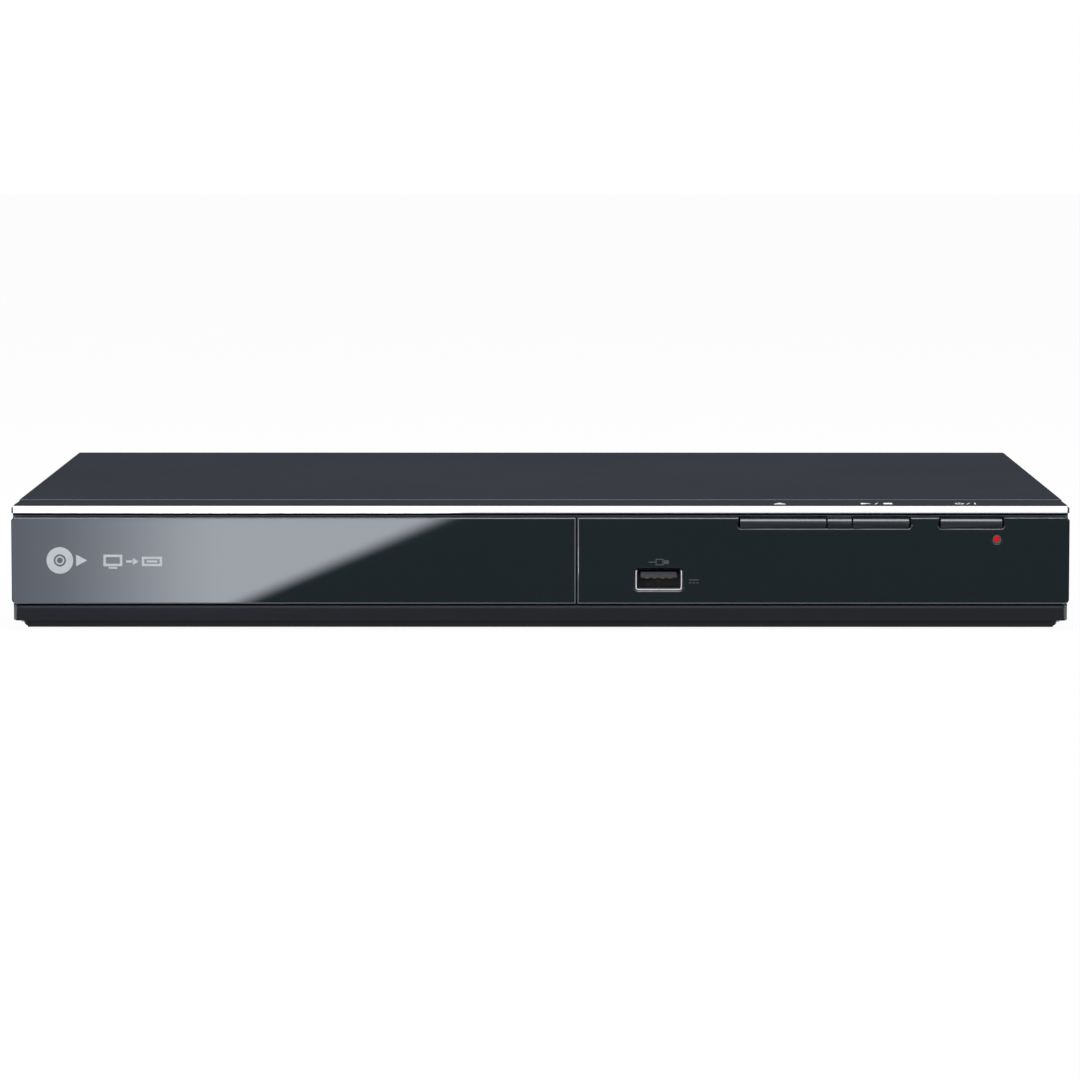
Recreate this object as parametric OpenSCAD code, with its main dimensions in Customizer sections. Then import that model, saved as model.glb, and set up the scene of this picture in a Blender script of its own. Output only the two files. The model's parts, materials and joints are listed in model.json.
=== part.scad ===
// Slim disc player with a motor-driven disc tray, as an assembly of its separate pieces.
// Front face towards -Y, floor at Z = 0, origin in the middle of the footprint. Millimetres.

/* [Case] */
// Width across the front face
body_w = 325; // [323:1:345]
// Depth from the front face to the ends of the rear sockets
body_d = 209; // [209:1:240]
// Height from the floor to the top of the cover
body_h = 39.7; // [39.5:0.1:46]
// Reach of the rear sockets past the cover
socket_reach = 8; // [7:0.5:10]
// Cover set in from the front face, each side
cover_inset = 1.5; // [1:0.1:2.5]
// Thickness of the cover sheet
cover_t = 0.7; // [0.6:0.05:1]
// Outer bend radius of the cover
cover_bend_r = 1.2; // [1:0.1:2]
// Height of the cover's lower edge above the floor
cover_edge_z = 3.2; // [2.8:0.1:5]
// Height of the cover's rear fold
cover_fold_h = 6; // [5:0.5:8]
// Thickness of the chassis and rear panel sheets
sheet_t = 0.8; // [0.7:0.05:1]
// Height of the chassis side flanges
flange_h = 12; // [10:1:15]
// Gap between the floor and the base
foot_gap = 1; // [0.8:0.1:4]
// Diameter of each foot
foot_d = 18; // [12:1:22]
// Distance of the feet from the case sides
foot_inset_x = 26; // [20:1:40]
// Distance of the feet from the case front and rear
foot_inset_y = 27; // [24:1:40]
// Length of one vent slot
vent_l = 14; // [8:1:16]
// Width of one vent slot
vent_w = 2; // [1.5:0.1:2.5]
// Distance between vent slots
vent_pitch = 5; // [4.5:0.5:7]

/* [Front] */
// Depth of the bezel's sloping lip in front of the cover
lip_d = 8.5; // [7:0.5:12]
// Rise of the lip from the trim strip to the cover
lip_rise = 0.7; // [0.4:0.1:1.2]
// Thickness of the lip and the bezel's wall
bezel_t = 2; // [1.6:0.1:2.4]
// Height of the trim strip
trim_h = 2.4; // [1.8:0.1:3]
// Depth of the trim strip
trim_d = 1.6; // [1.2:0.1:2.2]
// Cut across the trim strip's upper corners
trim_corner = 0.8; // [0.4:0.1:1.2]
// Height of the recess under the trim strip
trim_recess = 1.4; // [1:0.1:2]
// Height of the base skirt, with its plinth
skirt_h = 6.5; // [5.5:0.1:7.5]
// Height of the plinth under the skirt
plinth_h = 1.7; // [1.2:0.1:2.2]
// Plinth set in from the skirt, each side
plinth_inset = 3; // [2:0.5:5]
// Skirt set in from the front face, each side
skirt_inset = 0.4; // [0.3:0.1:1.4]
// Bezel's wall set in from the front face, each side
wall_inset = 0.3; // [0.2:0.1:0.8]
// Corner radius of the skirt
skirt_r = 2; // [1:0.5:3]
// Height of the groove between skirt and panels
groove_h = 0.4; // [0.3:0.1:1.5]
// Thickness of the fixed right panel
panel_t = 3; // [2.6:0.1:3.6]
// Thickness of the tray door
door_t = 2.4; // [2:0.1:2.6]
// Width of the tray door
door_w = 173.4; // [172:0.1:175]
// Gap between tray door and right panel
split_gap = 0.5; // [0.4:0.05:0.8]
// Radius of the panels' lower outer corners
panel_r = 1.4; // [1:0.1:2.5]
// Chamfer of the panels' upper outer corners
panel_chamfer = 0.8; // [0.5:0.1:1.5]

/* [Keys] */
// Height of the key notch in the panel
key_notch_h = 3.6; // [3.2:0.1:4.5]
// Clearance round a key
key_gap = 0.35; // [0.3:0.05:0.45]
// Chamfer along a key's top edge
key_chamfer = 0.8; // [0.5:0.1:1.2]
// Distance of the first key from the tray door's split
keys_from_split = 49.9; // [46:0.1:52]
// Width of the open and close key
open_key_w = 26.5; // [22:0.5:30]
// Width of the fixed piece between the keys
spacer_w = 7.45; // [6.5:0.05:9]
// Width of the play and stop key
play_key_w = 17.3; // [14:0.1:20]
// Distance from the play and stop key to the power key
power_key_gap = 9.6; // [8:0.1:11]
// Width of the power key
power_key_w = 18.95; // [15:0.05:20]
// Travel of a key
key_travel = 0.6; // [0.4:0.1:0.7]
// Distance of the standby lamp from the power key's right end
lamp_from_key_end = 1.6; // [1.4:0.1:4]
// Distance of the standby lamp below the panel's top edge
lamp_from_top = 6.6; // [6:0.1:9]
// Diameter of the standby lamp's lens
lamp_d = 2.6; // [2:0.1:3.2]

/* [USB socket] */
// Distance of the socket's middle from the tray door's split
usb_from_split = 25; // [20:0.5:28]
// Height of the socket's middle above the panel's lower edge
usb_from_bottom = 7.5; // [6:0.1:12]
// Outer width of the socket's shell
usb_w = 14.3; // [14:0.1:14.8]
// Outer height of the socket's shell
usb_h = 6.5; // [6.3:0.1:7]
// Thickness of the shell
usb_t = 0.35; // [0.3:0.05:0.4]
// Thickness of the contact tongue
tongue_t = 1.9; // [1.6:0.1:2.1]

/* [Disc tray] */
// Diameter of a full-size disc
disc_d = 120; // [120:0.5:121]
// Diameter of a small disc
small_disc_d = 80; // [80:0.5:82]
// Distance of the resting disc's centre behind the front face
disc_back = 72; // [72:0.5:76]
// Width of the tray
tray_w = 130; // [129.5:0.5:132]
// Thickness of the tray
tray_t = 4.2; // [4:0.1:4.6]
// Height of the tray's underside above the floor
tray_z = 18.4; // [18.4:0.1:18.8]
// Depth of the full-size disc's well
well_h = 2; // [1.6:0.1:2.2]
// Step down to the small disc's well
small_well_h = 0.8; // [0.6:0.1:1]
// Clearance round a disc in its well
disc_gap = 0.8; // [0.5:0.1:1]
// Length of the tray behind the disc's centre
tray_back = 94; // [90:1:96]
// Width of the slot that the turntable and pickup reach through
slot_w = 38; // [35:0.5:40]
// Travel of the tray
tray_travel = 134; // [120:1:134]
// Clearance of the sliding tray
slide_gap = 0.3; // [0.2:0.05:0.4]

/* [Loader] */
// Outer width of the loader frame
loader_w = 136; // [135.5:0.5:138]
// Thickness of the loader's walls
loader_t = 2; // [1.6:0.1:2.2]
// Thickness of the loader's deck
deck_t = 1.6; // [1.4:0.1:2]
// Height of the loader frame's posts on the chassis
loader_post_h = 2; // [2:0.1:2.4]
// Height of the clamper bridge above the floor
bridge_z = 27; // [26.8:0.1:27.5]
// Thickness of the clamper bridge
bridge_t = 1.2; // [0.8:0.1:1.4]
// Diameter of the clamper's body
clamper_d = 30; // [28:0.5:32]
// Diameter of the clamper's flange
clamper_flange_d = 38; // [37:0.5:42]
// Radial gap between the clamper and its hole
clamper_gap = 1; // [0.6:0.1:1.2]
// Distance from the lift frame's hinge to the disc's centre
hinge_back = 86; // [86:0.5:88]
// Diameter of the lift frame's hinge pins
hinge_pin_d = 4; // [3.5:0.1:4.5]
// Radial running clearance of pins in their holes
run_gap = 0.05; // [0.03:0.01:0.08]
// Greatest angle that the lift frame drops, in degrees
lift_angle = 3; // [2.5:0.1:3]
// Travel of the cam slider
cam_travel = 26; // [24:1:27]
// Diameter of the pin that rides in the cam slider
cam_pin_d = 3; // [2.5:0.1:3.2]

/* [Loading gears] */
// Tooth module of the loading gears
load_mod = 1; // [1:0.01:1.02]
// Teeth of the tray drive gear's pinion
rack_pinion_n = 18; // [18:1:18]
// Teeth of the tray drive gear's wheel
drive_wheel_n = 30; // [30:2:30]
// Teeth of the pulley gear's pinion
pulley_pinion_n = 12; // [12:1:12]
// Radius of the pulley gear's rim
pulley_r = 13; // [12:0.1:13]
// Radius of the motor pulley's rim
motor_pulley_r = 4; // [3.5:0.1:4.5]
// Distance between the motor and the pulley gear
belt_span = 33; // [32:0.5:34]
// Thickness of the drive belt
belt_t = 1.1; // [0.9:0.1:1.2]
// Diameter of the gear pins
gear_pin_d = 3; // [2.5:0.1:3.5]

/* [Pickup] */
// Travel of the pickup
pickup_travel = 34; // [30:0.5:34]
// Distance of the parked pickup from the spindle
pickup_start = 24; // [24:0.1:25]
// Distance of each guide rod from the pickup's middle
rod_x = 28; // [27.5:0.1:28.5]
// Diameter of the guide rods
rod_d = 3; // [2.5:0.1:3]
// Tooth module of the feed gears
feed_mod = 0.6; // [0.6:0.01:0.61]
// Teeth of the feed gear's pinion
feed_pinion_n = 14; // [14:1:14]
// Teeth of the feed gear's wheel
feed_wheel_n = 28; // [28:1:28]
// Teeth of the feed motor's pinion
feed_motor_n = 12; // [12:1:12]
// Diameter of the turntable
turntable_d = 29; // [27:0.5:30]
// Diameter of a disc's centre hole
disc_hole_d = 15; // [15:0.1:15.1]
// Diameter of the spindle's shaft
spindle_d = 2; // [1.5:0.1:2.4]

/* [Boards and sockets] */
// Thickness of the circuit boards
board_t = 1.6; // [1.2:0.1:1.6]
// Height of the chassis posts under the boards
board_post_h = 4; // [4:0.1:5]
// Depth of the main board
main_d = 124; // [120:1:126]
// Width of the power board
power_w = 60; // [59:1:62]
// Depth of the power board
power_d = 134; // [130:1:136]
// Distance of the front board behind the front face
front_board_back = 13; // [13:0.1:14]
// Distance between neighbouring audio and video sockets
av_pitch = 13; // [12.5:0.1:14]
// Outer diameter of an audio or video socket's barrel
av_barrel_d = 8.3; // [8.3:0.1:8.5]
// Diameter of a screw's thread
screw_d = 2.6; // [2.5:0.1:2.8]
// Diameter of a screw's head
screw_head_d = 5; // [4.8:0.1:5.4]

/* [Hidden] */
$fn = 48;

// Case planes
end_x = body_w / 2;
front_y = -body_d / 2;
seam_y = front_y + lip_d;
rear_edge_y = body_d / 2 - socket_reach;
rear_face_y = rear_edge_y - cover_t;
rear_inner_y = rear_face_y - sheet_t;
cover_x = end_x - cover_inset;
cover_inner_x = cover_x - cover_t;
cover_inner_z = body_h - cover_t;
chassis_z = foot_gap + sheet_t;
floor_z = chassis_z + sheet_t;
flange_gap = 0.2;
flange_x = cover_inner_x - flange_gap;
chassis_front_y = front_y + 5.2;
flange_front_y = front_y + 17;
foot_x = cover_x - foot_inset_x;
foot_front_y = front_y + foot_inset_y;
foot_rear_y = rear_face_y - foot_inset_y;

// Front heights
trim_top = cover_inner_z - lip_rise;
trim_z = trim_top - trim_h;
panel_top = trim_z - trim_recess;
skirt_top = foot_gap + skirt_h;
plinth_top = foot_gap + plinth_h;
panel_z = skirt_top + groove_h;
split_x = -end_x + door_w;
right_panel_x = split_x + split_gap;
wall_y = front_y + panel_t;
wall_back_y = wall_y + bezel_t;
cheek_x = end_x - wall_inset;
ledge_d = 5.5;

// Keys, lamp and USB socket
notch_z = panel_top - key_notch_h;
key_z = notch_z + 0.25;
key_top = panel_top - 0.1;
key_face_y = front_y + 0.1;
key_flange_t = 1;
key_flange_lip = 1;
open_key_x = right_panel_x + keys_from_split;
spacer_x = open_key_x + open_key_w + key_gap;
play_key_x = spacer_x + spacer_w + key_gap;
power_key_x = play_key_x + play_key_w + power_key_gap;
switch_z = key_z + 1.6;
switch_gap = 0.2;
switch_body = 6;
switch_t = 3.4;
plunger_l = 0.9;
lamp_x = power_key_x + power_key_w - lamp_from_key_end;
lamp_z = panel_top - lamp_from_top;
lamp_flange_t = 0.8;
usb_x = right_panel_x + usb_from_split;
usb_z = panel_z + usb_from_bottom;
usb_window_gap = 0.2;
front_board_y = front_y + front_board_back;
front_board_x = right_panel_x + 8;
front_board_end = end_x - 6;
front_board_z = panel_z + 0.7;
front_board_top = trim_z + 0.6;
boss_d = 6;
boss_xs = [front_board_x + 5, front_board_end - 5];
boss_zs = [front_board_z + 3.5, front_board_top - 4.5];

// Loader, in its own plan frame with the resting disc's centre at 0, 0
loader_x = -end_x + door_w / 2;
disc_y = front_y + disc_back;
loader_half = loader_w / 2;
loader_front = -disc_back + 10;
loader_back = tray_back + 6;
loader_z = floor_z + loader_post_h;
deck_top = loader_z + deck_t;
guide_w = 4.5;
well_r = disc_d / 2 + disc_gap;
small_well_r = small_disc_d / 2 + disc_gap;
tray_top = tray_z + tray_t;
tray_front = -disc_back + door_t + 0.4;
tray_wall_t = 2.4;
tray_wall_half = tray_w / 2 - 3;
tray_wall_z = tray_z - 3.4;
tray_wall_top = tray_top + 3.4;
tray_opening_gap = 1.2;
door_hook_t = 1.2;
finger_r = 12;
disc_z = tray_top - 0.9;
disc_t = 1.2;
opening_left = loader_half - 8.5;
opening_right = 50;
opening_front = -27;
opening_back = hinge_back + 4;

// Loading gears
gear_y = -disc_back + 28;
rack_pitch_x = 55;
rack_pinion_r = load_mod * rack_pinion_n / 2;
drive_x = rack_pitch_x - rack_pinion_r;
drive_wheel_r = load_mod * drive_wheel_n / 2;
pulley_pinion_r = load_mod * pulley_pinion_n / 2;
pulley_x = drive_x - drive_wheel_r - pulley_pinion_r;
motor_x = pulley_x - belt_span;
groove_d = 1;
gear_z = deck_top + 2.2;
gear_t = 3;
pulley_z = gear_z + gear_t + 0.6;
pulley_t = 2.7;
rack_h = 3;
rack_z = tray_z - rack_h;
pinion_z = rack_z - 0.2;
pinion_top = tray_z - 0.4;
motor_r = 9;
motor_pocket_t = 2;
motor_top = pulley_z - 0.6;

// Lift frame, traverse and pickup
swing_left = 57;
swing_right = 47;
swing_rail = 7;
swing_front = -22;
swing_back = hinge_back - 4;
swing_z = floor_z + 6.4;
swing_t = 3.5;
hinge_z = swing_z + 2;
hinge_lug_x = 48;
hinge_lug_t = 3;
plate_z = swing_z + 5.4;
plate_t = 1.2;
plate_front = -19;
plate_back = hinge_back - 10;
plate_left = 50.5;
plate_right = 36;
grommet_ys = [-8, plate_back - 6];
grommet_xs = [-swing_left + swing_rail / 2, swing_right - swing_rail / 2];
grommet_r = 3.3;
stud_r = 1.4;
sled_w = 38;
sled_l = 26;
sled_z = swing_z + 1;
sled_window_x = sled_w / 2 + 5;
rod_z = sled_z + rod_d / 2 + 0.4;
arm_w = 5;
arm_h = rod_d + 1.4;
tab_t = 1.2;
rod_front = 10.4;
rod_back = plate_back - 2.2;
feed_pinion_r = feed_mod * feed_pinion_n / 2;
feed_wheel_r = feed_mod * feed_wheel_n / 2;
feed_motor_r = feed_mod * feed_motor_n / 2;
feed_rack_x = -rod_x - 5.4;
feed_x = feed_rack_x - feed_pinion_r;
feed_y = 38;
feed_turn = 245.4;
feed_span = feed_wheel_r + feed_motor_r;
feed_motor_x = feed_x + feed_span * cos(feed_turn);
feed_motor_y = feed_y + feed_span * sin(feed_turn);
feed_wheel_z = sled_z - 2.6;
feed_wheel_t = 1.8;
feed_pinion_top = sled_z + 2.4;
feed_pin_r = 1;
rotor_r = turntable_d / 2 - 1.5;
rotor_z = plate_z + plate_t + 0.3;
table_z = disc_z - 0.6;
pad_t = 0.6;
cam_pin_x = -20;
cam_pin_z = hinge_z;
cam_y = swing_front - 3.9;
cam_t = 2.6;
cam_arm = hinge_back - cam_y - cam_t / 2;
cam_drop = cam_arm * sin(lift_angle);
cam_slot_gap = 0.15;
cam_dwell = 4;
cam_top = hinge_z + 4.8;
cam_guide_t = 2.2;

// Boards and rear sockets
board_z = floor_z + board_post_h;
board_top = board_z + board_t;
board_gap = 8;
loader_gap = 7.8;
lug_reach = 4;
lug_r = 4;
power_x = cover_x - 5 - power_w;
power_y = rear_inner_y - 0.5 - power_d;
main_x = loader_x + loader_half + lug_reach + lug_r + loader_gap;
main_end = power_x - board_gap;
main_w = main_end - main_x;
main_y = rear_inner_y - 0.5 - main_d;
board_hole_inset = 5;
board_rear_inset = 34;
hdmi_x = main_x + 14;
hdmi_w = 15;
hdmi_h = 6;
av_x = main_x + 51;
av_z = board_top + 8.5;
av_w = 2 * av_pitch + 14;
av_h = 15;
av_collar = 0.8;
av_tail_r = 3.4;
inlet_x = power_x + 40;
inlet_w = 21;
inlet_h = 13;
inlet_z = board_top + inlet_h / 2;
inlet_pin_d = 2.4;
inlet_pin_pitch = 8.6;
panel_play = [0.6, 0.6];
screw_hole_r = screw_d / 2 + 0.05;
ribbon_t = 0.6;

// ---------- shared shapes ----------

// A block given by its lowest and highest corners
module block(lo, hi) {
    translate(lo) cube(hi - lo);
}

// A rectangle given by its lowest and highest corners
module block_2d(lo, hi) {
    translate(lo) square(hi - lo);
}

// A flat outline with round corners, centred
module round_rect(w, h, r) {
    square([w - 2 * r, h], center = true);
    square([w, h - 2 * r], center = true);
    for (x = [-1, 1], y = [-1, 1]) {
        translate([x * (w / 2 - r), y * (h / 2 - r)]) circle(r);
    }
}

// Stands an outline drawn in X and Z up, from y0 to y1 along Y
module along_y(y0, y1) {
    translate([0, y1, 0]) rotate([90, 0, 0]) linear_extrude(y1 - y0) children();
}

// Gives an outline drawn in Y and Z a thickness along X from x0 to x1
module along_x(x0, x1) {
    translate([x0, 0, 0]) rotate([90, 0, 90]) linear_extrude(x1 - x0) children();
}

// An upright cylinder from z0 to z1
module post(x, y, z0, z1, r) {
    translate([x, y, z0]) cylinder(h = z1 - z0, r = r);
}

// A cylinder along Y from y0 to y1
module bar_y(x, z, y0, y1, r) {
    translate([x, y1, z]) rotate([90, 0, 0]) cylinder(h = y1 - y0, r = r);
}

// A cylinder along X from x0 to x1
module bar_x(y, z, x0, x1, r) {
    translate([x0, y, z]) rotate([0, 90, 0]) cylinder(h = x1 - x0, r = r);
}

// Puts a loader piece at the resting disc's centre
module at_disc() {
    translate([loader_x, disc_y, 0]) children();
}

// A row of n copies along X, centred
module row_x(n, pitch) {
    for (i = [0 : n - 1]) {
        translate([(i - (n - 1) / 2) * pitch, 0, 0]) children();
    }
}

// A pan-head screw that points down, with the underside of its head at the origin
module screw(l) {
    difference() {
        union() {
            cylinder(h = 1.4, r = screw_head_d / 2);
            translate([0, 0, -l]) cylinder(h = l, r = screw_d / 2);
        }
        for (a = [0, 90]) {
            rotate([0, 0, a]) translate([-1.5, -0.25, 0.7]) cube([3, 0.5, 1]);
        }
    }
}

// ---------- gear teeth ----------

// Involute of a radius, in degrees
function inv(r, base_r) = let (t = sqrt(max(0, pow(r / base_r, 2) - 1))) t * 180 / PI - atan(t);

// Half the angle that a tooth takes up at radius r
function tooth_half(r, n, m, play) =
    let (pitch_r = m * n / 2, base_r = pitch_r * cos(20), s = max(r, base_r))
    90 / n - play / pitch_r * 45 / PI + inv(pitch_r, base_r) - inv(s, base_r);

// Outline of a spur gear with one tooth pointing along +X
module gear_outline(n, m, play) {
    pitch_r = m * n / 2;
    rs = [pitch_r - 1.15 * m, pitch_r - 0.35 * m, pitch_r + 0.2 * m, pitch_r + 0.8 * m];
    polygon([
        for (k = [0 : n - 1], side = [-1, 1], i = [0 : 3])
            let (r = side < 0 ? rs[i] : rs[3 - i], a = 360 * k / n + side * tooth_half(r, n, m, play))
            [r * cos(a), r * sin(a)]
    ]);
}

// Outline of a rack along Y from y0, teeth towards -X, with a gap at the given place
module rack_outline(n, m, play, y0, back) {
    pitch = PI * m;
    w = pitch / 4 - play / 4;
    tip = w - 0.8 * m * tan(20);
    root = w + 1.15 * m * tan(20);
    polygon(concat(
        [[back, y0 + (n - 0.5) * pitch + root], [back, y0 + pitch / 2 - root]],
        [for (k = [0 : n - 1], p = [[1.15 * m, -root], [-0.8 * m, -tip], [-0.8 * m, tip], [1.15 * m, root]])
            [p.x, y0 + (k + 0.5) * pitch + p.y]]
    ));
}

// Outline of a loop round two pulleys on the X axis, at radii ra and rb and d apart
function loop_outline(ra, rb, d) =
    let (a = acos((ra - rb) / d), n = 24)
    concat(
        [for (i = [0 : n]) let (t = a + (360 - 2 * a) * i / n) [ra * cos(t), ra * sin(t)]],
        [for (i = [0 : n]) let (t = -a + 2 * a * i / n) [d + rb * cos(t), rb * sin(t)]]
    );

// Side view of a flat cable of thickness t that runs through the points p
module cable_path(p, t) {
    last = len(p) - 1;
    run = [for (i = [0 : last - 1]) (p[i + 1] - p[i]) / norm(p[i + 1] - p[i])];
    side = [for (r = run) [-r.y, r.x]];
    off = [
        for (i = [0 : last])
            let (a = side[max(i - 1, 0)], b = side[min(i, last - 1)]) t / 2 * (a + b) / (1 + a * b)
    ];
    polygon(concat([for (i = [0 : last]) p[i] + off[i]], [for (i = [0 : last]) p[last - i] - off[last - i]]));
}

// ---------- case ----------

// Places of the board screws: each entry is x, y
function board_holes(x, y, w) = [
    for (i = [0, 1], j = [0, 1])
        [x + board_hole_inset + i * (w - 2 * board_hole_inset),
         j == 0 ? y + board_hole_inset : rear_inner_y - board_rear_inset]
];
board_screws = concat(board_holes(main_x, main_y, main_w), board_holes(power_x, power_y, power_w));

// Places of the loader's screws
loader_screws = [
    for (i = [-1, 1], y = [loader_front + 14, loader_back - 12])
        [loader_x + i * (loader_half + lug_reach), disc_y + y]
];

// Places of the screws through the cover's sides and rear, and the rear panel's foot
side_screw_ys = [front_y + 45, rear_face_y - 25];
side_screw_z = floor_z + 6.5;
rear_screw_xs = [-cover_x + 20, 0, cover_x - 14];
rear_screw_z = body_h - cover_fold_h / 2 - 0.4;

module foot_places() {
    for (x = [-foot_x, foot_x], y = [foot_front_y, foot_rear_y]) {
        translate([x, y, 0]) children();
    }
}

module bottom_chassis() color("silver") {
    difference() {
        union() {
            block([-flange_x, chassis_front_y, chassis_z], [flange_x, rear_face_y, floor_z]);
            for (s = [-1, 1]) {
                side = s < 0 ? -flange_x : flange_x - sheet_t;
                block([side, flange_front_y, chassis_z],
                      [side + sheet_t, rear_inner_y - 0.3, floor_z + flange_h]);
            }
            for (p = board_screws) {
                post(p.x, p.y, chassis_z, board_z, 3.4);
            }
            for (p = loader_screws) {
                post(p.x, p.y, chassis_z, loader_z, 4);
            }
        }
        for (p = concat(board_screws, loader_screws)) {
            post(p.x, p.y, 0, body_h, screw_hole_r);
        }
        for (s = [-1, 1], y = side_screw_ys) {
            bar_x(y, side_screw_z, s * flange_x - 3, s * flange_x + 3, screw_hole_r);
        }
        translate([power_x + power_w / 2, rear_inner_y - 72, 0]) row_x(8, vent_pitch) {
            block([-vent_w / 2, -vent_l, 0], [vent_w / 2, vent_l, floor_z + 1]);
        }
        translate([main_x + main_w / 2, rear_inner_y - 72, 0]) row_x(8, vent_pitch) {
            block([-vent_w / 2, -vent_l, 0], [vent_w / 2, vent_l, floor_z + 1]);
        }
        foot_places() post(0, 0, 0, floor_z + 1, 2.5);
    }
}

module feet() color("dimgray") {
    foot_places() {
        post(0, 0, 0, chassis_z, foot_d / 2);
        post(0, 0, chassis_z, floor_z, 2.45);
        translate([0, 0, floor_z]) cylinder(h = 1, r = 3.2);
    }
}

module rear_panel() color("silver") {
    difference() {
        union() {
            block([-flange_x, rear_inner_y, floor_z], [flange_x, rear_face_y, cover_inner_z]);
            block([-flange_x + 6, rear_inner_y - 9, floor_z], [flange_x - 6, rear_inner_y, floor_z + sheet_t]);
        }
        along_y(rear_inner_y - 1, rear_face_y + 1) {
            translate([hdmi_x, board_top + hdmi_h / 2]) square([hdmi_w, hdmi_h] + panel_play, center = true);
            translate([inlet_x, inlet_z]) square([inlet_w, inlet_h] + panel_play, center = true);
            translate([av_x, av_z]) for (i = [-1 : 1]) {
                translate([i * av_pitch, 0]) circle(av_barrel_d / 2 + 1.6);
            }
            for (x = rear_screw_xs) {
                translate([x, rear_screw_z]) circle(screw_hole_r);
            }
            for (i = [0 : 8]) {
                translate([loader_x - 40 + i * vent_pitch, body_h / 2]) square([vent_w, vent_l], center = true);
                translate([power_x - 6 + i * 3.4, body_h - 13]) square([vent_w - 0.2, vent_l / 2], center = true);
            }
        }
    }
}

module cover_profile() {
    difference() {
        union() {
            block_2d([-cover_x, cover_edge_z], [cover_x, body_h - cover_bend_r]);
            block_2d([-cover_x + cover_bend_r, cover_edge_z], [cover_x - cover_bend_r, body_h]);
            for (s = [-1, 1]) {
                translate([s * (cover_x - cover_bend_r), body_h - cover_bend_r]) circle(cover_bend_r);
            }
        }
        block_2d([-cover_inner_x, 0], [cover_inner_x, cover_inner_z]);
    }
}

module top_cover() color("#36393f") {
    edge_r = cover_t * 0.7;
    difference() {
        union() {
            along_y(seam_y, rear_edge_y) cover_profile();
            block([-cover_inner_x, rear_face_y, body_h - cover_fold_h],
                  [cover_inner_x, rear_edge_y, cover_inner_z]);
        }
        // rolled front edge of the sheet
        along_x(-cover_x - 1, cover_x + 1) difference() {
            block_2d([seam_y - 1, body_h - edge_r], [seam_y + edge_r, body_h + 1]);
            translate([seam_y + edge_r, body_h - edge_r]) circle(edge_r);
        }
        for (s = [-1, 1], y = side_screw_ys) {
            bar_x(y, side_screw_z, s * cover_x - 2, s * cover_x + 2, screw_hole_r);
        }
        for (x = rear_screw_xs) {
            bar_y(x, rear_screw_z, rear_face_y - 1, rear_edge_y + 1, screw_hole_r);
        }
        for (s = [-1, 1], i = [0 : 11]) {
            y = rear_face_y - 40 - i * vent_pitch;
            block([s * cover_x - 2, y - vent_w / 2, body_h / 2 + 2 - vent_l / 2],
                  [s * cover_x + 2, y + vent_w / 2, body_h / 2 + 2 + vent_l / 2]);
        }
    }
}

module case_screws() color("#202226") {
    for (s = [-1, 1], y = side_screw_ys) {
        translate([s * cover_x, y, side_screw_z]) rotate([0, s * 90, 0]) screw(5);
    }
    for (x = rear_screw_xs) {
        translate([x, rear_edge_y, rear_screw_z]) rotate([-90, 0, 0]) screw(5);
    }
}

module inner_screws() color("gold") {
    for (p = board_screws) {
        translate([p.x, p.y, board_top]) screw(board_top - chassis_z - 0.4);
    }
    for (p = loader_screws) {
        translate([p.x, p.y, deck_top + 1]) screw(deck_top + 1 - chassis_z - 0.2);
    }
    for (x = boss_xs, z = boss_zs) {
        translate([x, front_board_y + board_t, z]) rotate([-90, 0, 0]) screw(6);
    }
    at_disc() bridge_holes() translate([0, 0, bridge_z + bridge_t]) screw(bridge_t + 2.4);
}

module bridge_holes() {
    for (s = [-1, 1], y = [-12, 12]) {
        translate([s * (loader_half - 3), y, 0]) children();
    }
}

// ---------- front ----------

// Plan of the lip, from the trim strip's top to the cover's corners
module lip_plan() {
    wide = end_x - trim_corner;
    polygon([[-wide, front_y + trim_d], [wide, front_y + trim_d], [cover_x, seam_y], [-cover_x, seam_y]]);
}

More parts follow.
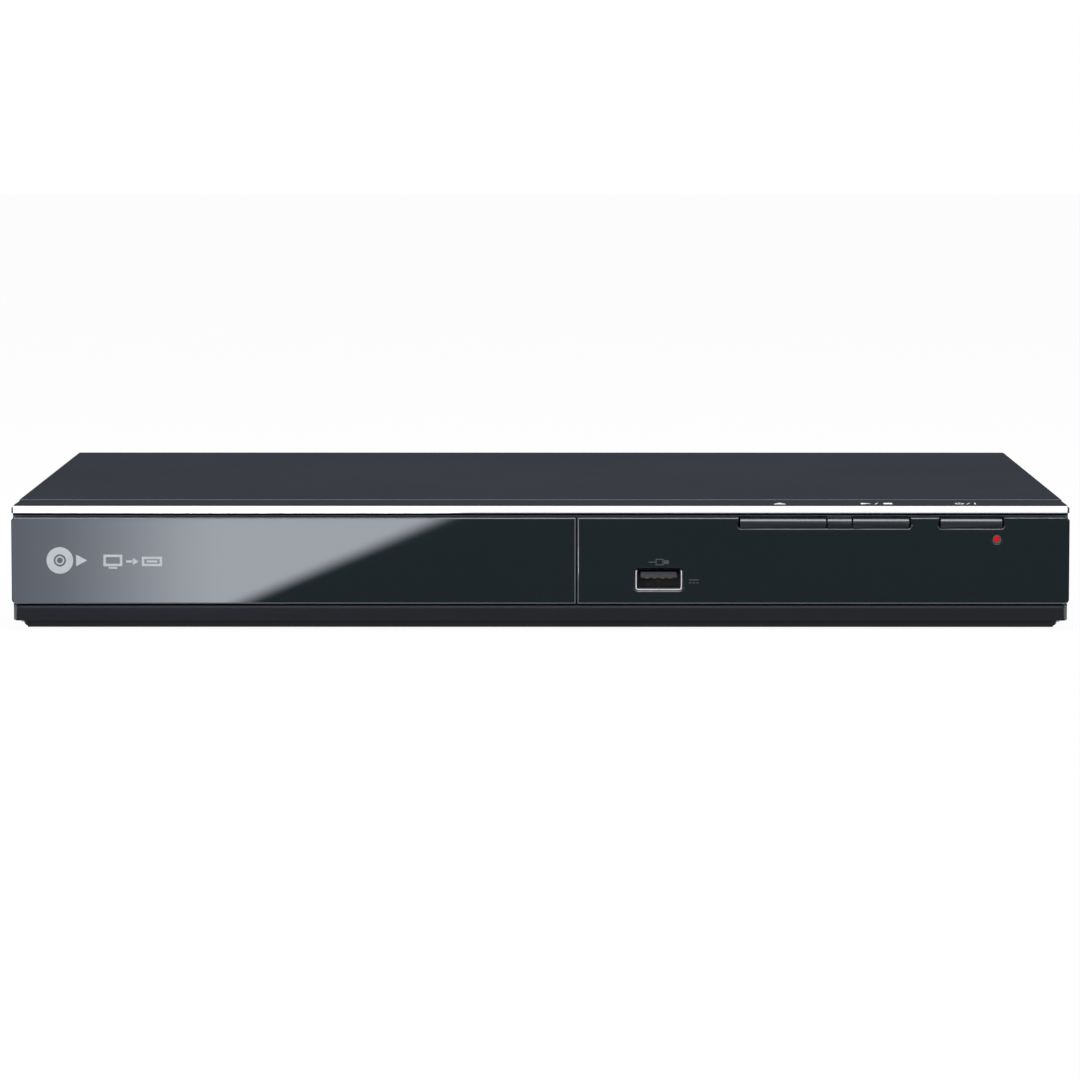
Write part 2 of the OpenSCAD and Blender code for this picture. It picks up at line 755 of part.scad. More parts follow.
module front_bezel() color("#25262a") {
    skirt_half = end_x - skirt_inset;
    plinth_half = skirt_half - plinth_inset;
    difference() {
        union() {
            // sloping lip and the cover's ledge
            intersection() {
                linear_extrude(body_h) lip_plan();
                along_x(-end_x, end_x) polygon([
                    [front_y + trim_d, trim_z + 0.2], [front_y + trim_d, trim_top],
                    [seam_y, cover_inner_z], [seam_y, cover_inner_z - bezel_t],
                    [wall_back_y, cover_inner_z - bezel_t], [wall_back_y, trim_z + 0.2],
                ]);
            }
            block([-cover_inner_x + 0.3, seam_y, cover_inner_z - bezel_t],
                  [cover_inner_x - 0.3, seam_y + ledge_d, cover_inner_z]);
            // wall behind the panels
            block([-cheek_x, wall_y, plinth_top], [cheek_x, wall_back_y, cover_inner_z - bezel_t]);
            // end cheeks, and the tongues that carry them inside the cover
            for (s = [-1, 1]) {
                lap = flange_x - 0.5;
                block([min(s * lap, s * cheek_x), wall_back_y, plinth_top],
                      [max(s * lap, s * cheek_x), seam_y - 0.3, cover_inner_z - bezel_t]);
                tongue = s < 0 ? -flange_x : flange_x - bezel_t;
                block([tongue, wall_back_y, floor_z + 1],
                      [tongue + bezel_t, flange_front_y - 0.4, cover_inner_z - bezel_t]);
            }
            // skirt and plinth
            intersection() {
                linear_extrude(skirt_top) skirt_plan(skirt_half, front_y + 0.2, skirt_r);
                skirt_side(skirt_half);
            }
            intersection() {
                linear_extrude(plinth_top) skirt_plan(plinth_half, front_y + 1.2, skirt_r);
                plinth_side(plinth_half);
            }
            for (x = boss_xs, z = boss_zs) {
                bar_y(x, z, wall_back_y - 0.5, front_board_y, boss_d / 2);
            }
        }
        // hollow behind the skirt, above the chassis shelf
        block([-plinth_half + 2, front_y + 3.2, chassis_z], [plinth_half - 2, front_y + 30, skirt_top - bezel_t]);
        block([-plinth_half + 2, wall_back_y, chassis_z], [plinth_half - 2, front_y + 30, panel_z + 1]);
        // opening for the tray
        at_disc() block(
            [-tray_w / 2 - tray_opening_gap, -disc_back - 1, tray_wall_z - 1],
            [tray_w / 2 + tray_opening_gap, -disc_back + panel_t + bezel_t + 1, tray_wall_top + door_hook_t + 1.2]);
        // windows for USB socket, keys and lamp
        along_y(wall_y - 1, wall_back_y + 1) {
            translate([usb_x, usb_z]) square([usb_w, usb_h] + 2 * [0.5, 0.5], center = true);
            key_window(open_key_x, open_key_w);
            key_window(play_key_x, play_key_w);
            key_window(power_key_x, power_key_w);
            translate([lamp_x, lamp_z]) circle(lamp_d / 2 + run_gap);
        }
        for (x = boss_xs, z = boss_zs) {
            bar_y(x, z, wall_back_y, front_board_y + 1, screw_hole_r);
        }
    }
}

// Plan of the skirt and the plinth, with round front corners
module skirt_plan(half, y0, r) {
    y1 = front_y + 14;
    block_2d([-half, y0 + r], [half, wall_back_y]);
    block_2d([-half + r, y0], [half - r, wall_back_y]);
    block_2d([-half + plinth_inset, wall_back_y], [half - plinth_inset, y1]);
    for (s = [-1, 1]) {
        translate([s * (half - r), y0 + r]) circle(r);
    }
}

// Front view of the skirt, with round lower corners
module skirt_side(half) {
    r = 1;
    along_y(front_y - 1, front_y + 15) {
        block_2d([-half, plinth_top + r], [half, skirt_top]);
        block_2d([-half + r, plinth_top], [half - r, skirt_top]);
        for (s = [-1, 1]) {
            translate([s * (half - r), plinth_top + r]) circle(r);
        }
    }
}

// Front view of the plinth, whose ends curve under
module plinth_side(half) {
    along_y(front_y - 1, front_y + 15) {
        block_2d([-half + plinth_h, foot_gap], [half - plinth_h, plinth_top]);
        for (s = [-1, 1]) {
            intersection() {
                translate([s * (half - plinth_h), plinth_top]) circle(plinth_h);
                block_2d([-half - 1, foot_gap], [half + 1, plinth_top]);
            }
        }
    }
}

module key_window(x, w) {
    block_2d([x - key_gap, key_z - key_gap], [x + w + key_gap, key_top + key_gap]);
}

module trim_strip() color("white") {
    half = end_x - 0.1;
    r = 0.8;
    intersection() {
        translate([0, 0, trim_z]) linear_extrude(trim_h) {
            block_2d([-half, front_y + r], [half, front_y + trim_d]);
            block_2d([-half + r, front_y], [half - r, front_y + trim_d]);
            for (s = [-1, 1]) {
                translate([s * (half - r), front_y + r]) circle(r);
            }
        }
        // upper corners cut across
        along_y(front_y - 1, front_y + trim_d + 1) hull() {
            block_2d([-half, trim_z], [half, trim_top - trim_corner]);
            block_2d([trim_corner - half, trim_z], [half - trim_corner, trim_top]);
        }
    }
}

// Front outline of a panel from x0 to x1, with its outer end shaped
module panel_outline(x0, x1, left_shaped, right_shaped) {
    difference() {
        block_2d([x0, panel_z], [x1, panel_top]);
        if (left_shaped) {
            panel_corners(x0, 1);
        }
        if (right_shaped) {
            panel_corners(x1, -1);
        }
    }
}

// Cut at a panel's outer end: a chamfer above, a round corner below
module panel_corners(x, s) {
    polygon([[x - s, panel_top + 1], [x - s, panel_top - panel_chamfer - 1], [x, panel_top - panel_chamfer],
             [x + s * panel_chamfer, panel_top], [x + s * panel_chamfer, panel_top + 1]]);
    difference() {
        block_2d([min(x - s, x + s * panel_r), panel_z - 1],
                 [max(x - s, x + s * panel_r), panel_z + panel_r]);
        translate([x + s * panel_r, panel_z + panel_r]) circle(panel_r);
    }
}

// Notch in the panel's top edge, narrower at its mouth
module key_notch(x, w) {
    slant = 0.25;
    polygon([
        [x - key_gap - slant, notch_z], [x + w + key_gap + slant, notch_z],
        [x + w + key_gap, panel_top], [x + w + key_gap, panel_top + 1],
        [x - key_gap, panel_top + 1], [x - key_gap, panel_top],
    ]);
}

module right_panel() color("#16191b") {
    along_y(front_y, wall_y) difference() {
        panel_outline(right_panel_x, end_x, false, true);
        translate([usb_x, usb_z]) round_rect(usb_w + 2 * usb_window_gap, usb_h + 2 * usb_window_gap, 1.1);
        key_notch(open_key_x, play_key_x + play_key_w - open_key_x);
        key_notch(power_key_x, power_key_w);
        translate([lamp_x, lamp_z]) circle(lamp_d / 2 + run_gap);
    }
}

module power_lamp_lens() color("red") {
    bar_y(lamp_x, lamp_z, front_y, wall_back_y, lamp_d / 2);
    bar_y(lamp_x, lamp_z, wall_back_y, wall_back_y + lamp_flange_t, lamp_d / 2 + 0.7);
}

// Side view of a key's cap, chamfered along the top
module cap_side(y1) {
    polygon([
        [key_face_y, key_z], [key_face_y, key_top - key_chamfer], [key_face_y + 0.6 * key_chamfer, key_top],
        [y1, key_top], [y1, key_z],
    ]);
}

// A key: cap, flange behind the bezel's wall, stem towards its switch
module key(x, w) {
    flange_y = wall_back_y + 0.3;
    stem_y = front_board_y - switch_t - plunger_l - key_travel - switch_gap;
    along_x(x, x + w) cap_side(flange_y);
    block([x - key_flange_lip, flange_y, key_z - key_flange_lip],
          [x + w + key_flange_lip, flange_y + key_flange_t, key_top + key_flange_lip - 0.2]);
    block([x + w / 2 - 2.5, flange_y, switch_z - 1.6], [x + w / 2 + 2.5, stem_y, switch_z + 1.6]);
}

module open_close_key() color("#26292c") {
    key(open_key_x, open_key_w);
}

module play_stop_key() color("#26292c") {
    key(play_key_x, play_key_w);
}

module power_key() color("#26292c") {
    key(power_key_x, power_key_w);
}

module key_spacer() color("#26292c") {
    along_x(spacer_x, spacer_x + spacer_w) cap_side(wall_y);
}

module tray_door() color("#202427") {
    back_y = front_y + door_t;
    along_y(front_y, back_y) panel_outline(-end_x, split_x, true, false);
    // pads and hooks that hold the door on the tray's front wall
    at_disc() for (x = [-46, 0, 46]) {
        block([x - 6, -disc_back + door_t, tray_z - 2], [x + 6, tray_front, tray_top + 2]);
        block([x - 4, -disc_back + door_t, tray_wall_top + 0.1],
              [x + 4, tray_front + tray_wall_t + 0.6, tray_wall_top + 0.1 + door_hook_t]);
    }
}

// ---------- front electronics ----------

module front_board() color("darkgreen") {
    difference() {
        block([front_board_x, front_board_y, front_board_z],
              [front_board_end, front_board_y + board_t, front_board_top]);
        for (x = boss_xs, z = boss_zs) {
            bar_y(x, z, front_board_y - 1, front_board_y + board_t + 1, screw_hole_r);
        }
    }
}

module tact_switches() color("#30343a") {
    for (x = [open_key_x + open_key_w / 2, play_key_x + play_key_w / 2, power_key_x + power_key_w / 2]) {
        block([x - switch_body / 2, front_board_y - switch_t, switch_z - switch_body / 2],
              [x + switch_body / 2, front_board_y, switch_z + switch_body / 2]);
        bar_y(x, switch_z, front_board_y - switch_t - plunger_l, front_board_y - switch_t, 1.7);
    }
}

module standby_led() color("firebrick") {
    led_y = wall_back_y + lamp_flange_t + 0.3;
    bar_y(lamp_x, lamp_z, led_y + 1, front_board_y, 1.5);
    bar_y(lamp_x, lamp_z, front_board_y - 2, front_board_y, 1.9);
    translate([lamp_x, led_y + 1.2, lamp_z]) difference() {
        sphere(1.2);
        translate([-2, 0, -2]) cube([4, 2, 4]);
    }
}

module ir_receiver() color("#2a2024") {
    x = power_key_x - 12;
    z = panel_z + 11;
    block([x - 3, front_board_y - 4, z - 3.5], [x + 3, front_board_y, z + 3.5]);
    translate([x, front_board_y - 4, z]) intersection() {
        sphere(2.4);
        translate([-3, -3, -3]) cube([6, 3.2, 6]);
    }
}

module usb_shell() color("silver") {
    difference() {
        along_y(front_y + 0.2, front_board_y) translate([usb_x, usb_z]) difference() {
            round_rect(usb_w, usb_h, 0.9);
            round_rect(usb_w - 2 * usb_t, usb_h - 2 * usb_t, 0.9 - usb_t);
        }
        // folded seam along the shell's underside
        block([usb_x - 0.1, front_y, usb_z - usb_h],
              [usb_x + 0.1, front_board_y + 1, usb_z - usb_h / 2 + usb_t * 0.6]);
    }
}

module usb_tongue() color("#3a3d42") {
    tongue_z = usb_z + 1.4;
    along_y(front_board_y - 3.4, front_board_y) translate([usb_x, usb_z]) {
        round_rect(usb_w - 2 * usb_t - 0.1, usb_h - 2 * usb_t - 0.1, 0.9 - usb_t);
    }
    block([usb_x - 5.6, front_y + 1.2, tongue_z - tongue_t / 2],
          [usb_x + 5.6, front_board_y - 3.4, tongue_z + tongue_t / 2]);
}

module usb_contacts() color("goldenrod") {
    contact_z = usb_z + 1.4 - tongue_t / 2;
    for (i = [-1.5 : 1 : 1.5]) {
        x = usb_x + i * 2.4;
        block([x - 0.5, front_y + 2, contact_z - 0.25], [x + 0.5, front_board_y - 3.4, contact_z]);
    }
}

// ---------- loader ----------

// Tabs that keep the tray down, as y from and to
guide_tabs = [[loader_front + 2, loader_front + 18], [-2, 12], [tray_back - 14, tray_back]];

module loader_frame() color("#e8e6df") at_disc() {
    ledge_z = tray_z - slide_gap;
    rib_back = cam_y - slide_gap;
    difference() {
        union() {
            // deck with its opening for the lift frame
            block([-loader_half, loader_front, loader_z], [loader_half, loader_back, deck_top]);
            for (s = [-1, 1]) {
                wall = s < 0 ? -loader_half : loader_half - loader_t;
                block([wall, loader_front, loader_z], [wall + loader_t, loader_back, bridge_z]);
                ledge = s < 0 ? -loader_half : loader_half - loader_t - guide_w;
                inner = ledge + guide_w + loader_t;
                block([ledge, loader_front, ledge_z - 2.2], [inner, loader_back, ledge_z]);
                for (t = guide_tabs) {
                    block([ledge, t[0], tray_top + slide_gap], [inner, t[1], tray_top + slide_gap + 1.5]);
                }
                for (y = [loader_front + 14, loader_back - 12]) {
                    post(s * (loader_half + lug_reach), y, loader_z, deck_top + 1, lug_r);
                    block([s > 0 ? loader_half - 1 : -loader_half - lug_reach, y - lug_r, loader_z],
                          [s > 0 ? loader_half + lug_reach : -loader_half + 1, y + lug_r, deck_top + 1]);
                }
            }
            // front beam below the tray, and rear wall
            block([-loader_half, loader_front, loader_z],
                  [loader_half, loader_front + loader_t, tray_wall_z - 1.5]);
            block([-loader_half, loader_back - loader_t, loader_z], [loader_half, loader_back, bridge_z]);
            // rib that the cam slider hangs on
            block([-opening_left, rib_back - cam_guide_t, loader_z], [20, rib_back, cam_top - slide_gap - 1.4]);
            // pocket of the loading motor
            post(motor_x, gear_y, loader_z, motor_top - 1.4, motor_r + motor_pocket_t);
            // bearings of the lift frame's hinge pins
            for (s = [-1, 1]) {
                lug = hinge_lug(s);
                block([lug, hinge_back - 4, loader_z], [lug + hinge_lug_t, hinge_back + 6, hinge_z]);
                bar_x(hinge_back, hinge_z, lug, lug + hinge_lug_t, 4);
            }
            // pins of the pulley gear and the tray drive gear
            post(pulley_x, gear_y, deck_top - 0.5, pulley_z + pulley_t, gear_pin_d / 2);
            post(drive_x, gear_y, deck_top - 0.5, pinion_top, gear_pin_d / 2);
            for (x = [pulley_x, drive_x]) {
                post(x, gear_y, deck_top - 0.5, gear_z - 0.3, 3);
            }
            // seats of the bridge's screws
            bridge_holes() post(0, 0, tray_top + slide_gap, bridge_z, 3);
        }
        block([-opening_left, opening_front, 0], [opening_right, opening_back, deck_top + 0.01]);
        post(motor_x, gear_y, 0, body_h, motor_r - 2);
        post(motor_x, gear_y, loader_z + 0.8, body_h, motor_r + 0.1);
        for (s = [-1, 1]) {
            lug = hinge_lug(s);
            bar_x(hinge_back, hinge_z, lug - 1, lug + hinge_lug_t + 1, hinge_pin_d / 2 + run_gap);
            for (y = [loader_front + 14, loader_back - 12]) {
                post(s * (loader_half + lug_reach), y, 0, body_h, screw_d / 2 + 0.2);
            }
        }
        bridge_holes() post(0, 0, bridge_z - 3, body_h, screw_hole_r);
    }
}

// Lower x of a hinge bearing, beside the opening
function hinge_lug(s) = s > 0 ? hinge_lug_x + 0.3 : -swing_left - 0.3 - hinge_lug_t;

module clamper_bridge() color("silver") at_disc() {
    half_d = clamper_flange_d / 2 + bridge_t + 1;
    difference() {
        union() {
            block([-loader_half, -half_d, bridge_z], [loader_half, half_d, bridge_z + bridge_t]);
            for (s = [-1, 1]) {
                y = s < 0 ? -half_d : half_d - bridge_t;
                block([-loader_half + 8, y, bridge_z], [loader_half - 8, y + bridge_t, bridge_z + 4]);
            }
        }
        post(0, 0, 0, body_h, clamper_d / 2 + clamper_gap);
        bridge_holes() post(0, 0, 0, body_h, screw_hole_r);
    }
}

clamper_z = disc_z + disc_t;
flange_z = bridge_z + bridge_t + slide_gap;
magnet_r = 9.8;
magnet_t = 3;

module clamper() color("#f2f2ee") at_disc() {
    difference() {
        union() {
            post(0, 0, clamper_z, flange_z + 0.1, clamper_d / 2);
            post(0, 0, flange_z, flange_z + 1.5, clamper_flange_d / 2);
        }
        post(0, 0, clamper_z - 1, clamper_z + 2.4, disc_hole_d / 2 + 0.6);
        post(0, 0, flange_z + 1.5 - magnet_t - 0.4, body_h, magnet_r + run_gap);
    }
}

module clamper_magnet() color("#555555") at_disc() {
    post(0, 0, flange_z + 1.5 - magnet_t - 0.4, flange_z + 1.1, magnet_r);
}

module disc_tray() color("#2b2d31") at_disc() {
    half = tray_w / 2;
    floor_low = tray_top - well_h - small_well_h;
    difference() {
        union() {
            block([-half, tray_front + 1, tray_z], [half, tray_back, tray_top]);
            block([-tray_wall_half, tray_front, tray_wall_z],
                  [tray_wall_half, tray_front + tray_wall_t, tray_wall_top]);
        }
        post(0, 0, tray_top - well_h, body_h, well_r);
        post(0, 0, floor_low, body_h, small_well_r);
        post(0, 0, 0, body_h, slot_w / 2);
        block([-slot_w / 2, 0, 0], [slot_w / 2, tray_back + 1, body_h]);
        // finger notches beside the disc
        for (x = [-1, 1]) {
            post(x * (well_r - 14), -well_r + 12, tray_z + 1.2, body_h, finger_r);
        }
        // lightening steps outside the well
        for (s = [-1, 1]) {
            edge = s * (half - 1) - 2;
            block([edge, tray_front + 6, tray_top - 1], [edge + 4, tray_back + 1, body_h]);
        }
    }
    // rack under the right edge, in step with the drive pinion at rest
    translate([rack_pitch_x, gear_y, rack_z]) linear_extrude(rack_h + 0.01) {
        rack_outline(rack_teeth, load_mod, 0.2, -rack_lead * PI * load_mod, 4);
    }
}
rack_lead = 3;
rack_teeth = ceil(tray_travel / (PI * load_mod)) + rack_lead;

module loading_motor() color("silver") at_disc() {
    post(motor_x, gear_y, loader_z + 0.8, motor_top - 0.6, motor_r);
    post(motor_x, gear_y, motor_top - 0.6, motor_top - 0.1, 3);
    post(motor_x, gear_y, motor_top - 0.6, pulley_z + pulley_t, 0.75);
}

// A grooved rim between z0 and z1, for a belt
module pulley_rim(r, z0, z1) {
    translate([0, 0, z0]) rotate_extrude() polygon([
        [0, 0], [r, 0], [r, 0.5], [r - groove_d, 0.8], [r - groove_d, z1 - z0 - 0.8], [r, z1 - z0 - 0.5],
        [r, z1 - z0], [0, z1 - z0],
    ]);
}

module motor_pulley() color("goldenrod") at_disc() translate([motor_x, gear_y, 0]) {
    difference() {
        pulley_rim(motor_pulley_r, pulley_z, pulley_z + pulley_t);
        post(0, 0, 0, body_h, 0.75 + run_gap);
    }
}

module drive_belt() color("#1a1a1a") at_disc() {
    ra = motor_pulley_r - groove_d + 0.15;
    rb = pulley_r - groove_d + 0.15;
    translate([motor_x, gear_y, pulley_z + 0.85]) linear_extrude(pulley_t - 1.7) difference() {
        polygon(loop_outline(ra + belt_t, rb + belt_t, belt_span));
        polygon(loop_outline(ra, rb, belt_span));
    }
}

module pulley_gear() color("#f0eee6") at_disc() translate([pulley_x, gear_y, 0]) {
    difference() {
        union() {
            pulley_rim(pulley_r, pulley_z, pulley_z + pulley_t);
            post(0, 0, gear_z, pulley_z + 0.1, pulley_pinion_r - 1.2);
            translate([0, 0, gear_z]) rotate([0, 0, 180 + 180 / pulley_pinion_n]) linear_extrude(gear_t) {
                gear_outline(pulley_pinion_n, load_mod, 0.2);
            }
        }
        post(0, 0, 0, body_h, gear_pin_d / 2 + run_gap);
        for (a = [0 : 60 : 300]) {
            rotate([0, 0, a]) post(pulley_r * 0.6, 0, pulley_z - 1, body_h, 2);
        }
    }
}

module tray_drive_gear() color("#f0eee6") at_disc() translate([drive_x, gear_y, 0]) {
    difference() {
        union() {
            translate([0, 0, gear_z]) linear_extrude(gear_t) gear_outline(drive_wheel_n, load_mod, 0.2);
            post(0, 0, gear_z, pinion_z + 0.1, 5);
            translate([0, 0, pinion_z]) linear_extrude(pinion_top - pinion_z) {
                gear_outline(rack_pinion_n, load_mod, 0.2);
            }
        }
        post(0, 0, 0, body_h, gear_pin_d / 2 + run_gap);
    }
}

// Slot of the cam slider in X and Z: level, sloping down, level
module cam_slot() {
    r = cam_pin_d / 2 + cam_slot_gap;
    top = [cam_pin_x, cam_pin_z];
    low = top + [cam_travel, -cam_drop];
    slot_run(top - [cam_dwell, 0], top, r);
    slot_run(top, low, r);
    slot_run(low, low + [cam_dwell, 0], r);
}

module slot_run(from, to, r) {
    run = to - from;
    translate(from) rotate(atan2(run.y, run.x)) translate([0, -r]) square([norm(run), 2 * r]);
    for (p = [from, to]) {
        translate(p) circle(r);
    }
}

module cam_slider() color("#d9a441") at_disc() {
    x0 = cam_pin_x - cam_dwell - 5;
    x1 = cam_pin_x + cam_travel + cam_dwell + 5;
    difference() {
        union() {
            block([x0, cam_y, floor_z + 1], [x1, cam_y + cam_t, cam_top]);
            block([x0, cam_y - cam_guide_t - 1, cam_top - 1.4], [x1, cam_y + 0.1, cam_top]);
        }
        along_y(cam_y - 1, cam_y + cam_t + 1) cam_slot();
    }
}

module lift_frame() color("#3b3e44") at_disc() {
    difference() {
        union() {
            block([-swing_left, swing_front, swing_z], [swing_right, swing_back, swing_z + swing_t]);
            for (s = [-1, 1]) {
                arm = s > 0 ? swing_right - swing_rail : -swing_left;
                block([arm, swing_back - 1, swing_z], [arm + swing_rail, hinge_back, hinge_z + 2]);
                bar_x(hinge_back, hinge_z, arm, arm + swing_rail, 3.6);
                pin_end = s > 0 ? hinge_lug(1) + hinge_lug_t : hinge_lug(-1);
                bar_x(hinge_back, hinge_z, min(pin_end, arm + 1), max(pin_end, arm + 1), hinge_pin_d / 2);
            }
            bar_y(cam_pin_x, cam_pin_z, cam_y - 0.1, swing_front + 1, cam_pin_d / 2);
            block([cam_pin_x - 4, swing_front, swing_z],
                  [cam_pin_x + 4, swing_front + 5, swing_z + swing_t + 0.8]);
        }
        block([-swing_left + swing_rail, swing_front + 8, 0], [swing_right - swing_rail, swing_back - 6, body_h]);
        for (x = grommet_xs, y = grommet_ys) {
            post(x, y, 0, body_h, stud_r + 0.1);
        }
    }
}

module grommets() color("#1d1d1f") at_disc() {
    for (x = grommet_xs, y = grommet_ys) {
        difference() {
            post(x, y, swing_z + swing_t, plate_z, grommet_r);
            post(x, y, 0, body_h, stud_r + run_gap);
        }
    }
}

module traverse_plate() color("lightgray") at_disc() {
    difference() {
        union() {
            block([-plate_left, plate_front, plate_z], [plate_right, plate_back, plate_z + plate_t]);
            for (y = grommet_ys) {
                block([grommet_xs[0] - 4, y - 4, plate_z], [grommet_xs[1] + 4, y + 4, plate_z + plate_t]);
            }
            // riveted studs through the grommets
            for (x = grommet_xs, y = grommet_ys) {
                post(x, y, swing_z + 0.4, plate_z + 0.1, stud_r);
            }
            // folded tabs that hold the guide rods
            for (s = [-1, 1], y = [rod_front, rod_back]) {
                block([s * rod_x - 2.4, y, rod_z - 2.2], [s * rod_x + 2.4, y + tab_t, plate_z + 0.1]);
            }
            post(feed_x, feed_y, feed_wheel_z, plate_z + 0.1, feed_pin_r);
        }
        post(0, 0, 0, body_h, 4);
        block([-sled_window_x, sled_y0 - 0.6, plate_z - 1], [sled_window_x, rod_back - 0.4, body_h]);
        for (s = [-1, 1]) {
            bar_y(s * rod_x, rod_z, rod_front - 1, rod_back + tab_t + 1, rod_d / 2);
        }
        post(feed_motor_x, feed_motor_y, plate_z - 1, body_h, 2);
    }
}
sled_y0 = pickup_start - sled_l / 2;

module guide_rods() color("silver") at_disc() {
    for (s = [-1, 1]) {
        bar_y(s * rod_x, rod_z, rod_front - 0.8, rod_back + tab_t + 0.8, rod_d / 2);
    }
}

module spindle_motor() color("#b08d57") at_disc() {
    difference() {
        union() {
            post(0, 0, plate_z - 1.2, plate_z, rotor_r - 3);
            post(0, 0, swing_z, rotor_z + 2.2, 3.4);
            for (a = [0 : 40 : 320]) {
                rotate([0, 0, a]) block([2.5, -1.1, plate_z + plate_t], [rotor_r - 2.2, 1.1, rotor_z + 1.9]);
            }
        }
        post(0, 0, swing_z + 0.6, body_h, spindle_d / 2 + run_gap);
    }
}

module spindle_rotor() color("silver") at_disc() {
    difference() {
        post(0, 0, rotor_z, table_z - 1.5, rotor_r);
        post(0, 0, rotor_z - 1, rotor_z + 2.6, rotor_r - 1);
    }
    post(0, 0, swing_z + 0.8, table_z - 1.5, spindle_d / 2);
}

module turntable() color("#1c1d20") at_disc() {
    post(0, 0, table_z - 1.5, table_z, turntable_d / 2);
    translate([0, 0, table_z]) cylinder(h = 1.6, r = disc_hole_d / 2 - 0.1);
    translate([0, 0, table_z + 1.6]) cylinder(h = 1.4, r1 = disc_hole_d / 2 - 0.1, r2 = disc_hole_d / 2 - 1.6);
}

module turntable_pad() color("#4a4a4a") at_disc() {
    difference() {
        post(0, 0, table_z, table_z + pad_t, turntable_d / 2);
        post(0, 0, 0, body_h, turntable_d / 2 - 3.5);
    }
}

module pickup_sled() color("#6c7076") at_disc() {
    sled_y1 = sled_y0 + sled_l;
    difference() {
        union() {
            block([-sled_w / 2, sled_y0, sled_z], [sled_w / 2, sled_y1, plate_z + 0.6]);
            block([-sled_w / 2 + 1, sled_y0 + 4, plate_z], [sled_w / 2 - 1, sled_y1, tray_z - 0.7]);
            for (s = [-1, 1], y = [sled_y0 + 3, sled_y1 - 3 - arm_w]) {
                arm = s > 0 ? sled_w / 2 - 1 : -rod_x - 3;
                block([arm, y, sled_z], [arm + rod_x + 4 - sled_w / 2, y + arm_w, sled_z + arm_h]);
            }
            // feed rack in step with the feed pinion at rest
            translate([feed_rack_x, feed_y, sled_z]) linear_extrude(2) {
                rack_outline(feed_rack_n, feed_mod, 0.14, -feed_rack_back * PI * feed_mod, 2.4);
            }
        }
        for (s = [-1, 1]) {
            bar_y(s * rod_x, rod_z, 0, rod_back, rod_d / 2 + run_gap);
        }
        post(0, pickup_start, plate_z - 2, body_h, 7);
    }
}
feed_rack_n = ceil(pickup_travel / (PI * feed_mod)) + 3;
feed_rack_back = feed_rack_n - 1;

module pickup_lens() color("#9fd0e8") at_disc() {
    lens_z = disc_z - 1.5;
    post(0, pickup_start, plate_z - 2, lens_z - 1, 6.6);
    post(0, pickup_start, lens_z - 1.4, lens_z - 0.6, 3.4);
    translate([0, pickup_start, lens_z - 2.6]) intersection() {
        sphere(3.2);
        translate([-4, -4, 1]) cube([8, 8, 1.6]);
    }
}

module feed_motor() color("silver") at_disc() {
    post(feed_motor_x, feed_motor_y, plate_z - 4.2, plate_z, 6.6);
    post(feed_motor_x, feed_motor_y, feed_wheel_z - 0.3, plate_z, 0.7);
}

module feed_pinion() color("goldenrod") at_disc() {
    translate([feed_motor_x, feed_motor_y, feed_wheel_z]) difference() {
        rotate([0, 0, feed_turn + 180 + 180 / feed_motor_n]) linear_extrude(feed_wheel_t) {
            gear_outline(feed_motor_n, feed_mod, 0.14);
        }
        post(0, 0, -1, body_h, 0.7 + run_gap);
    }
}

module feed_gear() color("#f0eee6") at_disc() translate([feed_x, feed_y, 0]) {
    difference() {
        union() {
            translate([0, 0, feed_wheel_z]) rotate([0, 0, feed_turn]) linear_extrude(feed_wheel_t) {
                gear_outline(feed_wheel_n, feed_mod, 0.14);
            }
            translate([0, 0, feed_wheel_z]) linear_extrude(feed_pinion_top - feed_wheel_z) {
                gear_outline(feed_pinion_n, feed_mod, 0.14);
            }
        }
        post(0, 0, 0, body_h, feed_pin_r + run_gap);
    }
}

// ---------- boards and sockets ----------

module board(x, y, w, d) {
    difference() {
        block([x, y, board_z], [x + w, y + d, board_top]);
        for (p = board_screws) {
            post(p.x, p.y, 0, body_h, screw_d / 2 + 0.2);
        }
    }
}

module main_board() color("darkgreen") {
    board(main_x, main_y, main_w, main_d);
}

module power_board() color("#b98a4a") {
    board(power_x, power_y, power_w, power_d);
}

lead_pitch = 1.1;
lead_w = 0.5;

// A flat chip of w by d, with n leads on each of its two or four sides
module chip(x, y, w, d, n, sides) {
    translate([x, y, board_top]) {
        translate([-w / 2, -d / 2, 0.3]) cube([w, d, 1.3]);
        for (k = [0 : sides - 1]) {
            rotate([0, 0, k * 360 / sides]) {
                reach = sides == 2 || k % 2 == 0 ? w / 2 : d / 2;
                for (i = [0 : n - 1]) {
                    along = (i - (n - 1) / 2) * lead_pitch;
                    block([reach - 0.1, along - lead_w / 2, 0], [reach + 1.2, along + lead_w / 2, 0.4]);
                }
            }
        }
    }
}

module main_chips() color("#1e1f22") {
    chip(main_x + main_w / 2, main_y + 48, 22, 22, 16, 4);
    chip(main_end - 16, main_y + 40, 10, 21, 17, 2);
    chip(main_x + 18, main_y + 62, 8, 10, 8, 2);
    chip(main_x + 20, main_y + 24, 10, 12, 9, 2);
}

module can(x, y, r, h) {
    post(x, y, board_top, board_top + h, r);
}

module capacitors() color("#2c3350") {
    for (p = [[-12, 64], [-6, 22], [-22, 18], [12 - main_w, 80], [26 - main_w, 80]]) {
        can(main_end + p.x, main_y + p.y, 3.2, 9);
    }
    can(power_x + 47, power_y + 64, 8, 24);
    for (p = [[12, 30], [12, 42], [24, 30]]) {
        can(power_x + p.x, power_y + p.y, 4.2, 14);
    }
}

link_h = 6;
link_y = main_y + 60;

